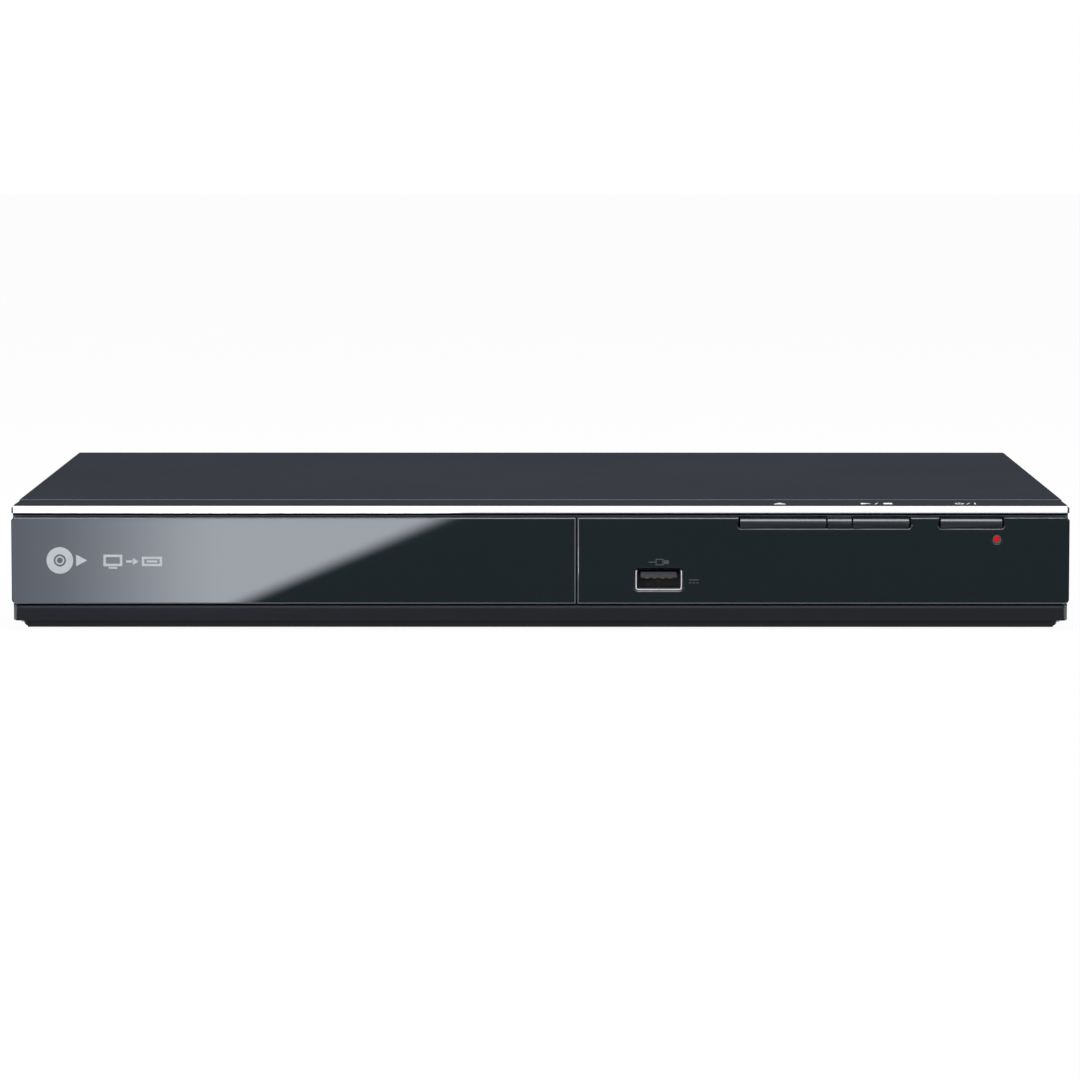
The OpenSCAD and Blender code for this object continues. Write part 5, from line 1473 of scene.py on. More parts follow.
@dataclass
class Cabinet:
    """Folded cover, feet, rear panel and the case screws."""

    edge: float = 0.22
    side_run: float = 50.0
    hem: tuple[float, float] = (0.55, 1.0)
    # depth behind the front, in millimetres, within which the front edge gets its painted highlight
    roll: float = 0.65
    foot_r: float = 9.0
    foot_h: float = 1.8
    foot_round: float = 0.45
    legend_lift: float = 0.02
    legend_line: float = 0.4
    tree_top: float = 27.5
    screen_at: float = 21.5
    mains_at: float = 28.6
    barrel_r: float = 4.15
    barrel_grip: float = 4.4
    ring_r: float = 6.4
    mouth_r: float = 3.3
    feet_at: tuple[tuple[float, float], ...] = field(init=False)

    def __post_init__(self) -> None:
        """Works out where the feet are from their own box."""
        low, high = corners("feet")
        xs = (low.x / MM + self.foot_r, high.x / MM - self.foot_r)
        ys = (low.y / MM + self.foot_r, high.y / MM - self.foot_r)
        self.feet_at = tuple((x, y) for x in xs for y in ys)

    def cover(self) -> None:
        """Rounds the sheared edges of the folded cover, lets its front hem down to the lip, and
        paints a highlight on its front edge.
        """
        low, high = corners("top_cover")
        bottom, top = (high.z - below * MM for below in reversed(self.hem))

        def lower_edge(a: Vector, b: Vector) -> bool:
            """Whether an edge runs along the sides' lower ends."""
            on_end = near(a.z, low.z) and near(b.z, low.z)
            return on_end and abs(a.y - b.y) > self.side_run * MM

        def hem_edge(a: Vector, b: Vector) -> bool:
            """Whether an edge is the lower one of the front hem."""
            in_front = near(a.y, low.y, 0.05) and near(b.y, low.y, 0.05)
            return in_front and bottom < min(a.z, b.z) and max(a.z, b.z) < top

        cover = Piece.copy_of("cover_shell", "top_cover").bevel(self.edge, 2, lower_edge)
        cover.choose(Pick.EDGES, hem_edge).nudge(-LIP_DROP)
        # painted highlight on the faces of the rounded front edge that face forwards
        cover.paint(Stock.COVER_EDGE_HIGHLIGHT, lambda c, n: n.y < -0.85 and c.y < low.y + self.roll * MM)
        cover.smooth(32).done("player", "cover_paint", Stock.COVER, ["top_cover"])

    def feet(self) -> None:
        """Turns the four round feet, with a rounded rim, a dished face and a recessed screw."""
        def outer_rim(a: Vector, b: Vector) -> bool:
            """Whether an edge runs round the face that stands on the table."""
            return near(a.z, 0) and near(b.z, 0) and a.xy.length > (self.foot_r - 0.1) * MM

        foot = Piece.rod("turned_feet", (0, 0, 0), "+Z", self.foot_r, self.foot_h, 64)
        foot.choose(Pick.FACES, lambda c, n: n.z < -0.9).inset(2.2).extrude((0, 0, 0.5))
        foot.inset(3.6).extrude((0, 0, 0.35)).inset(0.5).extrude((0, 0, 0.4))
        foot.bevel(self.foot_round, 3, outer_rim)
        foot.choose(Pick.FACES, lambda c, n: n.z > 0.9).inset(6.6).extrude((0, 0, 0.8))
        foot.extrude((0, 0, 0.05), 1.3).extrude((0, 0, 0.8), 0.85)
        foot.repeat([shift(x, y) for x, y in self.feet_at])
        foot.smooth(35).done("player", "foot_rubber", Stock.FOOT, ["feet"])

    def screws(self) -> None:
        """Shades the domed heads of the case screws."""
        screws = Piece.copy_of("case_screws_domed", "case_screws")
        screws.smooth(30).done("player", "screw_black", Stock.BLACK_SCREW, ["case_screws"])

    def barrel_spread(self) -> float:
        """Distance from one phono barrel's middle to the next one's, in millimetres."""
        low, high = corners("av_barrels")
        return (high.x - low.x) / MM / 2 - self.barrel_r

    def rear_signs(self) -> None:
        """Prints signs beside the rear sockets: an arrow's tree, a screen and a mains sign."""
        rear = corners("rear_panel")[1].y / MM
        spread, line, tip = self.barrel_spread(), self.legend_line, self.tree_top
        # the print is seen from behind, so its right is the case's left
        tree, port, mains = (-middle_of(node).x for node in (
            "av_barrels", "hdmi_socket", "inlet_socket"))
        signs = Marks("rear_signs")
        for k in (-1, 0, 1):
            signs.bar(tree - k * spread, tip - 2.2, line, 1.6)
        signs.bar(tree, tip - 1.4, spread * 2 + line, line)
        signs.bar(tree, tip - 0.6, line, 1.4).triangle(tree, tip + 1.1, 2.2, 2.0)
        low = self.screen_at - 2.8
        signs.outline(port, self.screen_at, 7.0, 4.2, line)
        signs.bar(port, low, 3.4, line).bar(port, low + 0.4, 0.5, 0.8)
        signs.ring(mains, self.mains_at, 2.0, 0.35).bar(mains, self.mains_at, 2.2, 0.35)
        print_plane = shift(0, rear + self.legend_lift) @ turned("+Y")
        signs.lay(print_plane).done("player", "rear_paint", Stock.WHITE_INK)

    def socket_rings(self) -> None:
        """Fits the coloured ring round each phono socket, and the insulator in its mouth."""
        face, mouth = (corners(node)[1].y / MM for node in ("rear_panel", "av_barrels"))
        x, _, z = middle_of("av_barrels")
        spread = self.barrel_spread()
        colours = ((-1, Stock.YELLOW_RING, "tape_yellow"), (0, Stock.WHITE_RING, "white_plastic"),
                   (1, Stock.RED_RING, "lamp_red"))
        for k, finish, slot in colours:
            name, at = f"socket_ring_{k + 2}", x + k * spread
            ring = Piece.band(name, (at, face, z), "+Y", self.ring_r, 0.6, 0.5)
            ring.join(Piece.band(name, (at, mouth - 0.45, z), "+Y", self.mouth_r, 1.35, 0.4, 40))
            ring.smooth(40).done("player", slot, finish)
        # a turned step and a rolled rim at each barrel's open end
        name, grip_r = "barrel_rims", self.barrel_r + 0.22
        rim = Piece.band(name, (x, mouth - 0.6, z), "+Y", self.barrel_r, 0.55, 0.6, 48)
        rim.join(Piece.band(name, (x, mouth - self.barrel_grip, z), "+Y", grip_r, 0.5, 0.9, 48))
        rim.repeat([shift(k * spread) for k in (-1, 0, 1)])
        rim.smooth(40).done("player", "steel", Stock.TURNED_STEEL)

    def build(self) -> None:
        """Makes the cabinet's pieces."""
        self.cover()
        self.feet()
        self.screws()
        self.rear_signs()
        self.socket_rings()


# ---------- front ----------


@dataclass
class FrontPanel:
    """Bezel, trim strip, tray door, fixed panel, keys, lamp and USB socket.

    Sizes are in millimetres, and the plane of the front face is in metres.
    """

    edge: float = 0.4
    corner_r: float = 1.4
    notch_h: float = 3.6
    notch_r: float = 0.9
    notch_rise: float = 0.25
    key_gap: float = 0.1
    key_h: float = 3.25
    key_r: float = 0.65
    key_edge: float = 0.16
    key_ridge: tuple[float, float] = (1.3, 1.75)
    ridge_rise: float = 0.04
    slope_drop: float = 0.28
    foot_rise: float = 0.1
    plinth_drop: float = 0.35
    skirt_edge: float = 1.3
    skirt_rise: float = 0.15
    skirt_h: float = 4.9
    skirt_end: float = 2.4
    # heights in millimetres between which the recess wall is painted light; above them it is
    # painted shade
    recess: tuple[float, float] = (34.4, 35.05)
    trim_edge: float = 0.15
    trim_drop: float = 0.1
    lens_r: float = 1.0
    lens_sunk: float = 0.25
    ring_r: float = 1.3
    ring_wall: float = 0.28
    ring_sunk: float = 0.02
    shell_top: float = 0.42
    cover_t: float = 0.7
    lip_signs_at: float = 2.6
    door_signs_at: float = 21.3
    front: float = field(init=False)

    def __post_init__(self) -> None:
        """Finds the plane of the front face, in metres."""
        self.front = corners("tray_door")[0].y

    def panel(self, name: str, node: str, body: str, outward: int) -> None:
        """Rounds one half of the glossy front, and paints highlights and shade on its rims.

        Args:
            name: Name of the piece.
            node: Node that it stands for.
            body: Body that it moves with.
            outward: Side of its outer end: -1 for the left, 1 for the right.
        """
        low, high = corners(node)
        outer, inner = (low.x, high.x) if outward < 0 else (high.x, low.x)
        rim = self.front + self.edge * MM
        notch = high.z - self.notch_h * MM
        panel = Piece.copy_of(name, node)
        if node == "right_panel":
            panel.choose(Pick.FACES, lambda c, n: n.z > 0.9 and near(c.z, notch, 0.05))
            panel.nudge(self.notch_rise)
            notch += self.notch_rise * MM

        def notch_corner(a: Vector, b: Vector) -> bool:
            """Whether an edge runs inwards at a lower corner of a key's notch."""
            return abs(a.y - b.y) > 1 * MM and near((a.z + b.z) / 2, notch, 0.05)

        panel.round_through(self.notch_r, notch_corner, (low.y, high.y))
        panel.bevel(self.edge, 3, along_y(self.front))
        # painted highlight on the top and bottom rounded rims of the front
        panel.paint(Stock.GLOSS_EDGE_HIGHLIGHT, lambda c, n: abs(n.z) > 0.2 and c.y < rim
                    and (n.z > 0 or c.z < low.z + 1 * MM))
        # painted highlight on the lower rim of the keys' notch
        panel.paint(Stock.NOTCH_EDGE_HIGHLIGHT, lambda c, n: n.z > 0.2 and c.y < rim
                    and c.z < notch + self.notch_r * MM)
        # painted shade on the panel's outer end face
        panel.paint(Stock.PAINTED_SHADE, lambda c, n: n.x * outward > 0.3 and near(c.x, outer, 0.6))
        # painted highlight on the inner end, along the gap between the two halves
        panel.paint(Stock.GLOSS_EDGE_HIGHLIGHT, lambda c, n: n.x * outward < -0.3 and n.y < -0.3
                    and near(c.x, inner, 0.6))
        # a low angle keeps the flat gloss flat right up to its rounded rim
        panel.smooth(12).done(body, "gloss_black", Stock.GLOSS, [node])

    def key(self, node: str, body: str) -> None:
        """Shapes the visible end of one key, or of the fixed piece between two of them.

        Args:
            node: Node that it stands for.
            body: Body that it moves with.
        """
        face = corners(node)[0].y
        foot = corners("right_panel")[1].z / MM - self.key_gap - self.key_h
        low, high = ((foot + height) * MM for height in self.key_ridge)

        def foot_corner(a: Vector, b: Vector) -> bool:
            """Whether an edge runs inwards at a lower corner."""
            on_foot = near(a.z, foot * MM, 0.05) and near(b.z, foot * MM, 0.05)
            return on_foot and abs(a.y - b.y) > 1 * MM

        def face_edge(a: Vector, b: Vector) -> bool:
            """Whether an edge is one of the longer ones near the face, apart from the ridge's."""
            at_front = face - 0.01 * MM < min(a.y, b.y) and max(a.y, b.y) < face + 1.2 * MM
            return at_front and (a - b).length > 0.3 * MM

        key = Piece.copy_of(node + "_cap", node)
        key.choose(Pick.FACES, lambda c, n: n.z > 0.2 and n.y < -0.3 and c.y < face + 1 * MM)
        key.nudge(-self.slope_drop).bevel(self.key_r, 4, foot_corner)
        for height in self.key_ridge:
            key.cut(foot + height)
        key.choose(Pick.FACES, lambda c, n: n.y < -0.9 and near(c.y, face) and low < c.z < high)
        key.extrude((0, -self.ridge_rise, 0)).bevel(self.key_edge, 2, face_edge)
        key.choose(Pick.FACES, lambda c, n: n.z < -0.9 and near(c.z, foot * MM, 0.05))
        key.nudge(self.foot_rise)
        # painted light on the key's top, which lies in shade under the strip
        key.paint(Stock.RECESS_PAINTED_LIGHT, lambda c, n: n.z > 0.95 and c.z > (foot + 2) * MM)
        key.smooth(35).done(body, "key_black", Stock.KEY, [node])

    def bezel(self) -> None:
        """Rounds the skirt, opens the groove above it at both ends, fits the lip's rear edge, and
        paints light and shade on it.
        """
        low, high = corners("front_bezel")
        front, wall = (corner.y for corner in corners("right_panel"))
        cover, groove = corners("top_cover")[0].y, corners("tray_door")[0].z
        bezel = Piece.copy_of("bezel_moulding", "front_bezel")
        first_top = max(v.co.z for v in bezel.obj.data.vertices
                        if v.co.y < wall - 0.1 * MM and v.co.z < groove)
        skirt_top = first_top + self.skirt_rise * MM

        def skirt_rim(a: Vector, b: Vector) -> bool:
            """Whether an edge runs round the front of the skirt's top."""
            at_top = near(a.z, skirt_top) and near(b.z, skirt_top)
            on_wall = near(a.y, wall, 0.05) and near(b.y, wall, 0.05)
            return at_top and max(a.y, b.y) < wall + 0.05 * MM and not on_wall

        def lip_rear(a: Vector, b: Vector) -> bool:
            """Whether an edge is the lip's upper one where it meets the cover."""
            at_cover = near(a.y, cover, 0.05) and near(b.y, cover, 0.05)
            return at_cover and min(a.z, b.z) > high.z - 0.1 * MM

        def wall_face(c: Vector, n: Vector) -> bool:
            """Whether a face belongs to the wall behind the glass."""
            return n.y < -0.9 and near(c.y, wall, 0.05)

        # the groove above the skirt runs out at both ends, behind the glass's round corners
        ledge, cheek = skirt_top / MM + 0.02, high.x / MM
        for x in (-cheek - 1, cheek - self.corner_r):
            bezel.carve((x, front / MM - 1, ledge),
                        (x + self.corner_r + 1, cover / MM + 0.5, groove / MM + self.corner_r))
        bezel.choose(Pick.FACES, lambda c, n: n.z < -0.9 and near(c.z, low.z))
        bezel.nudge(-self.plinth_drop).choose(Pick.EDGES, lip_rear).nudge(-LIP_DROP)
        bezel.choose(Pick.FACES, lambda c, n: n.z > 0.9 and near(c.z, first_top))
        bezel.nudge(self.skirt_rise).bevel(self.skirt_edge, 5, skirt_rim)
        for height in self.recess:
            bezel.cut(height)
        under, over = (height * MM for height in self.recess)
        foot, strip_top = low.z + self.skirt_end * MM, corners("trim_strip")[1].z
        # painted shade on the plinth under the skirt
        bezel.paint(Stock.PLINTH_SHADE, lambda c, n: c.z < skirt_top - self.skirt_h * MM)
        # painted highlight on the skirt's rounded ends
        bezel.paint(Stock.SKIRT_END_HIGHLIGHT, lambda c, n: abs(n.x) > 0.45 and n.y < -0.15
                    and foot < c.z < skirt_top)
        # the lip's upward faces get their near shineless finish, which is partly painted shade
        bezel.paint(Stock.LIP_DULL_AND_SHADE, lambda c, n: n.z > 0.9 and c.z > strip_top - 0.1 * MM)
        # painted light on the recess wall under the strip, which lies in shade
        bezel.paint(Stock.RECESS_PAINTED_LIGHT, lambda c, n: wall_face(c, n) and under < c.z < over)
        # painted shade on the wall's top, right under the strip
        bezel.paint(Stock.PAINTED_SHADE, lambda c, n: wall_face(c, n) and c.z > over)
        bezel.smooth(35).done("player", "bezel_black", Stock.BEZEL, ["front_bezel"])

    def trim(self) -> None:
        """Rounds the bright strip, and paints shade on its top and ends where they meet the lip."""
        low, high = corners("trim_strip")
        middle = (low.z + high.z) / 2
        strip = Piece.copy_of("trim_bar", "trim_strip")
        for width, level in ((self.trim_edge, high.z), (self.trim_edge / 3, low.z)):
            strip.bevel(width, 4, lambda a, b, level=level: along_y(low.y)(a, b)
                        and near(a.z, level) and near(b.z, level))
        strip.bevel(self.trim_edge * 2, 3, lambda a, b: along_y(low.y, 0.2)(a, b)
                    and abs(a.z - b.z) > 1 * MM)
        # painted shade on the strip's top, where it meets the lip, and on its ends
        strip.paint(Stock.PAINTED_SHADE, lambda c, n: n.z > 0.3 or abs(n.x) > 0.3)
        strip.choose(Pick.EDGES, lambda a, b: min(a.z, b.z) > middle).nudge(-self.trim_drop)
        strip.smooth(35).done("player", "trim_chrome", Stock.CHROME, ["trim_strip"])

    def lamp(self) -> None:
        """Makes the lamp's domed lens and the grey ring round it."""
        low, high = corners("power_lamp_lens")
        x, _, z = middle_of("power_lamp_lens")
        back, length = high.y / MM, (high.y - low.y) / MM
        mouth = low.y + self.ring_sunk * MM

        def in_bore(a: Vector, b: Vector) -> bool:
            """Whether an edge runs round the ring's bore."""
            return all(math.hypot(end.x / MM - x, end.z / MM - z) < self.lens_r + 0.1
                       for end in (a, b))

        lens = Piece.rod("lamp_dome", (x, back, z), "-Y", self.lens_r, length - self.lens_sunk, 40)
        lens.choose(Pick.FACES, lambda c, n: n.y < -0.9)
        lens.extrude((0, -0.12, 0), 0.86).extrude((0, -0.07, 0), 0.7)
        lens.smooth(50).done("player", "lamp_red", Stock.LAMP, ["power_lamp_lens"])
        ring = Piece.rod("lamp_ring", (x, back, z), "-Y", self.ring_r, length - self.ring_sunk, 40)
        ring.choose(Pick.FACES, lambda c, n: abs(n.y) > 0.9).inset(self.ring_wall).delete_faces()
        ring.choose(Pick.EDGES, in_bore).edit(lambda: bpy.ops.mesh.bridge_edge_loops())
        ring.bevel(0.08, 2, along_y(mouth))
        ring.smooth(40).done("player", "part_black", Stock.LAMP_RING)

    def usb(self) -> None:
        """Rounds the shell's mouth, paints a highlight on its rim and shade on the rim's top, and
        rounds the tongue's front.
        """
        low, high = corners("usb_shell")
        top, mouth = high.z - self.shell_top * MM, low.y + 0.2 * MM
        shell = Piece.copy_of("usb_shell_folded", "usb_shell")
        shell.bevel(0.05, 1, along_y(low.y)).cut(top / MM)
        # painted highlight on the rim's front faces, for the bright reflection on the plated rim
        shell.paint(Stock.USB_RIM_HIGHLIGHT, lambda c, n: n.y < -0.5 and c.y < mouth)
        # painted shade on the top of the rim's front
        shell.paint(Stock.PAINTED_SHADE, lambda c, n: n.y < -0.5 and c.y < mouth and c.z > top)
        shell.smooth(35).done("player", "steel", Stock.STEEL, ["usb_shell"])
        tongue = Piece.copy_of("usb_tongue_moulded", "usb_tongue")
        tongue.bevel(0.2, 2, along_y(corners("usb_tongue")[0].y))
        tongue.smooth(35).done("player", "part_black", Stock.TONGUE, ["usb_tongue"])

    def key_signs(self) -> None:
        """Prints the key signs on the sloping lip: eject, play and stop, and standby."""
        strip, (front, top) = corners("trim_strip")[1], corners("top_cover")
        slope = math.atan2(top.z - (self.cover_t + LIP_DROP) * MM - strip.z, front.y - strip.y)
        eject = middle_of("open_close_key").x - 0.9
        play, stop = (middle_of("play_stop_key").x + right for right in (-4.4, 2.3))
        standby, on = (middle_of("power_key").x + right for right in (-3.4, 1.4))
        up = self.lip_signs_at
        signs = Marks("key_signs")
        signs.triangle(eject, up + 0.5, 3.6, 2.1).bar(eject, up - 1.3, 3.6, 0.7)
        signs.triangle(play, up, 3.0, 3.2, -90).bar(play + 3.2, up, 0.35, 3.2, 1.1)
        signs.bar(stop, up, 2.7, 2.7)
        signs.ring(standby, up - 0.1, 1.4, 0.42).bar(standby, up + 0.9, 0.42, 1.5)
        signs.bar(on - 2.1, up, 0.35, 3.0, 1.1).bar(on, up, 0.45, 2.8)
        lip = Matrix.Translation((0, strip.y, strip.z + 0.01 * MM)) @ Matrix.Rotation(slope, 4, "X")
        signs.lay(lip).done("player", "bezel_black", Stock.WHITE_INK)

    def face_plane(self) -> Matrix:
        """Takes the plane of a print to the front face."""
        return Matrix.Translation((0, self.front, 0)) @ turned("-Y")

    def door_signs(self) -> None:
        """Prints a disc sign and a screen sign near the door's left end."""
        disc, play, screen, arrow, box = -147.6, -140.9, -131.3, -126.1, -119.3
        up, low = self.door_signs_at, self.door_signs_at - 0.3
        signs = Marks("door_signs")
        signs.ring(disc, up, 4.1, 2.2).ring(disc, up, 1.35, 0.45, 28)
        signs.triangle(play, up, 3.6, 3.4, -90)
        signs.outline(screen, up, 5.8, 3.6, 0.75).bar(screen, up - 2.3, 2.6, 0.5)
        signs.bar(arrow, low, 2.2, 0.7).triangle(arrow + 1.8, low, 2.2, 1.7, -90)
        signs.outline(box, low, 6.2, 2.9, 0.7).bar(box, low, 3.2, 0.6)
        signs.lay(self.face_plane()).done("tray", "gloss_black", Stock.DOOR_INK)

    def socket_signs(self) -> None:
        """Prints a plug above the USB socket and a direct-current sign beside it."""
        x, _, z = middle_of("usb_shell")
        above, side = z + 5.4, corners("usb_shell")[1].x / MM + 3.6
        plug = Marks("plug_sign").outline(x + 0.2, above, 2.4, 2.0, 0.3)
        plug.bar(x + 2.3, above, 1.6, 1.2).bar(x - 2.2, above, 2.2, 0.3)
        plug.lay(self.face_plane()).done("player", "gloss_black", Stock.FAINT_INK)
        current = Marks("current_sign").bar(side, z - 0.1, 3.0, 0.35)
        for k in (-1, 0, 1):
            current.bar(side + k * 1.15, z - 1.0, 0.7, 0.35)
        current.lay(self.face_plane()).done("player", "gloss_black", Stock.FAINT_INK)

    def build(self) -> None:
        """Makes the front's pieces."""
        self.panel("door_gloss", "tray_door", "tray", -1)
        self.panel("panel_gloss", "right_panel", "player", 1)
        self.key("open_close_key", "open_close")
        self.key("play_stop_key", "play_stop")
        self.key("power_key", "power")
        self.key("key_spacer", "player")
        self.bezel()
        self.trim()
        self.lamp()
        self.usb()
        self.key_signs()
        self.door_signs()
        self.socket_signs()


# ---------- disc tray ----------


@dataclass
class DiscTray:
    """The sliding tray's moulded rims, ribs and bumpers, in millimetres."""

    edge: float = 0.25
    fine_edge: float = 0.15
    rib_w: float = 0.6
    bumper_r: float = 1.3
    well_r: float = 60.8
    top: float = 22.6
    ledge: float = 20.6
    middle: tuple[float, float] = (-75.8, -32.5)
    rim_arcs: tuple[tuple[float, float], ...] = ((112.0, 100.0), (240.0, 60.0), (328.0, 100.0))
    bumper_angles: tuple[float, ...] = (28.0, 64.0, 116.0, 152.0, 250.0, 290.0)

    def tray(self) -> None:
        """Rounds the tray's upper edges."""
        top = self.top * MM
        tray = Piece.copy_of("tray_moulding", "disc_tray")
        tray.bevel(self.edge, 2, lambda a, b: near(a.z, top) and near(b.z, top))
        tray.smooth(35).done("tray", "loader_plastic", Stock.LOADER_PLASTIC, ["disc_tray"])

    def rims(self) -> None:
        """Raises a low rim round the well, with gaps at the finger notches and the slot."""
        foot, crest = (self.well_r + 0.5, -0.15), (self.well_r + 1.5, 0.35)
        rims = [
            Piece.arc("well_rims", (*self.middle, self.top), foot, crest, start, sweep,
                      round(sweep / 3)).soften(self.fine_edge, 2, 60)
            for start, sweep in self.rim_arcs]
        rims[0].join(*rims[1:]).smooth(50).done("tray", "loader_plastic", Stock.LOADER_PLASTIC)

    def bumpers(self) -> None:
        """Puts the soft dots on the ledge that the disc lies on."""
        x, y = self.middle
        reach = self.well_r - 3.2
        dot = Piece.disc("disc_bumpers", (0, 0, 0), "+Z", self.bumper_r, 20)
        dot.choose(Pick.FACES).extrude((0, 0, 0.18))
        dot.extrude((0, 0, 0.12), 0.86).extrude((0, 0, 0.05), 0.6)
        dot.repeat([shift(x + reach * math.cos(turn), y + reach * math.sin(turn), self.ledge)
                    for turn in map(math.radians, self.bumper_angles)])
        dot.smooth(50).done("tray", "rubber_black", Stock.BLACK_RUBBER)

    def ribs(self) -> None:
        """Lays fine guide ribs along both edges of the tray."""
        low, high = corners("disc_tray")
        near_y, far_y = low.y / MM + 9, high.y / MM - 4
        ribs = [
            Piece.cube("edge_ribs", (x, near_y, self.top - 0.1),
                       (x + self.rib_w, far_y, self.top + 0.3)).soften(0.12, 2, 60)
            for x in (low.x / MM + 1.0, high.x / MM - 1.0 - self.rib_w)]
        ribs[0].join(*ribs[1:]).smooth(50).done("tray", "loader_plastic", Stock.LOADER_PLASTIC)

    def build(self) -> None:
        """Makes the tray's pieces."""
        self.tray()
        self.rims()
        self.bumpers()
        self.ribs()


# ---------- inside ----------


@dataclass(frozen=True)
class Zone:
    """Faces whose middles lie in a box, in millimetres, and the finish that they get."""

    finish: Finish
    low: Point
    high: Point

    def holds(self, centre: Vector, _normal: Vector) -> bool:
        """Whether a face belongs to the zone, whichever way it faces."""
        return all(a * MM <= part <= b * MM for a, part, b in zip(self.low, centre, self.high))


@dataclass(frozen=True)
class Fitting:
    """A bought-in or moulded part: the node's own shape, softened and finished zone by zone."""

    node: str
    body: str
    slot: str
    finish: Finish
    edge: float = 0.15
    zones: tuple[Zone, ...] = ()

    def build(self) -> None:
        """Softens the part's edges and dresses its zones."""
        part = Piece.copy_of(self.node + "_part", self.node)
        for zone in self.zones:
            part.paint(zone.finish, zone.holds)
        part.soften(self.edge, 2, 50).smooth(40)
        part.done(self.body, self.slot, self.finish, [self.node])


@dataclass
class Electronics:
    """Boards with what is soldered on them, in millimetres.

    A chip is given by its corners, a can by its place, radius and height, and a block of small
    parts by its first place and how many stand across and along.
    """

    board: float = 8.2
    chips: tuple[tuple[float, ...], ...] = (
        (37.0, 7.5, 59.0, 29.5), (67.0, 0.0, 77.0, 21.0), (22.0, 27.5, 30.0, 37.5),
        (23.0, -11.5, 33.0, 0.5))
    cans: tuple[tuple[float, float, float, float], ...] = (
        (76, 34.5, 3.2, 9), (82, -7.5, 3.2, 9), (66, -11.5, 3.2, 9), (20, 50.5, 3.2, 9),
        (34, 50.5, 3.2, 9), (143, 24.5, 8, 24), (108, -9.5, 4.2, 14), (108, 2.5, 4.2, 14),
        (120, -9.5, 4.2, 14))
    chip_rows: tuple[tuple[float, float, int, int], ...] = (
        (36.0, 33.5, 9, 2), (37.0, -1.0, 8, 3), (62.0, 26.5, 4, 2), (12.0, 20.0, 3, 5),
        (44.0, 56.0, 7, 2), (12.0, -22.0, 6, 2), (50.0, -16.0, 4, 2))
    chip_pitch: tuple[float, float] = (2.6, 3.2)
    crystals_at: tuple[tuple[float, float], ...] = ((52, -8.5), (16, 8.5))
    coils_at: tuple[tuple[float, float], ...] = ((64, 40), (12, 62), (30, 62))

    def fittings(self) -> None:
        """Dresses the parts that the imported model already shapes."""
        top = self.board
        bodies = tuple(
            Zone(Stock.EPOXY, (a, b, top), (c, d, top + 2)) for a, b, c, d in self.chips)
        core = Zone(Stock.FERRITE, (100, 13.4, top + 3.1), (140, 23.6, 40))
        base = Zone(Stock.EPOXY, (100, 0, 0), (140, 40, top + 2.95))
        transistor = Zone(Stock.EPOXY, (143.9, -30, 0), (148.1, 0, 40))
        film = Zone(Stock.TAPE, (126.9, 40.4, 0), (145.1, 48.6, 40))
        fuse = Zone(Stock.CERAMIC, (144, 52, top + 1), (150, 73, 40))
        clips = Zone(Stock.TIN, (144, 52, 0), (150, 73, top + 2.05))
        for fitting in (
                Fitting("main_chips", "player", "part_black", Stock.TIN, 0.05, bodies),
                Fitting("transformer", "player", "tape_yellow", Stock.TAPE, 0.35, (core, base)),
                Fitting("power_heat_sink", "player", "aluminium", Stock.ALUMINIUM, 0.15,
                        (transistor,)),
                Fitting("line_filter", "player", "copper", Stock.COPPER, 0.4, (film, fuse, clips)),
                Fitting("board_connectors", "player", "white_plastic", Stock.WHITE_PLASTIC, 0.1),
                Fitting("hdmi_socket", "player", "steel", Stock.STEEL, 0.1),
                Fitting("av_housing", "player", "part_black", Stock.EPOXY, 0.3),
                Fitting("inlet_socket", "player", "part_black", Stock.EPOXY, 0.3),
                Fitting("loading_motor", "player", "steel", Stock.STEEL, 0.25),
        ):
            fitting.build()

    def can_tops(self) -> None:
        """Puts the scored metal lid on each electrolytic capacitor."""
        lids = []
        for x, y, radius, height in self.cans:
            lid = Piece.disc("can_lids", (x, y, self.board + height), "+Z", radius * 0.84, 32)
            lid.choose(Pick.FACES).extrude((0, 0, 0.25)).inset(radius * 0.12).extrude((0, 0, -0.15))
            lids.append(lid)
        lids[0].join(*lids[1:]).smooth(40).done("player", "aluminium", Stock.ALUMINIUM)

    def small_chips(self) -> None:
        """Solders rows of small two-ended parts between the large chips."""
        step_x, step_y = self.chip_pitch
        places = [shift(x + step_x * i, y + step_y * j, self.board)
                  for x, y, across, along in self.chip_rows
                  for i in range(across) for j in range(along)]
        body = Piece.cube("small_chips", (-0.45, -0.4, 0), (0.45, 0.4, 0.5)).soften(0.06, 1)
        body.repeat(places).smooth(40).done("player", "part_black", Stock.CERAMIC)
        left, right = (
            Piece.cube("small_chip_ends", (x, -0.42, 0), (x + 0.4, 0.42, 0.55)).soften(0.06, 1)
            for x in (-0.8, 0.4))
        left.join(right).repeat(places).smooth(40).done("player", "steel", Stock.TIN)

    def crystals(self) -> None:
        """Adds the crystals' flat cans and three ring-wound coils."""
        can = Piece.cube("crystal_cans", (-5.2, -2.2, 0), (5.2, 2.2, 3.4)).soften(1.2, 4)
        can.choose(Pick.FACES, lambda c, n: n.z > 0.9).inset(0.3).extrude((0, 0, -0.2))
        can.repeat([shift(x, y, self.board) for x, y in self.crystals_at])
        can.smooth(40).done("player", "steel", Stock.TIN)
        coil = Piece.rod("power_coils", (0, 0, 0), "+Z", 2.9, 3.2, 32)
        coil.choose(Pick.FACES, lambda c, n: n.z > 0.9).inset(0.8).extrude((0, 0, -0.4))
        coil.repeat([shift(x, y, self.board) for x, y in self.coils_at])
        coil.smooth(40).done("player", "part_black", Stock.FERRITE)

    def build(self) -> None:
        """Makes the boards' pieces."""
        self.fittings()
        self.can_tops()
        self.small_chips()
        self.crystals()


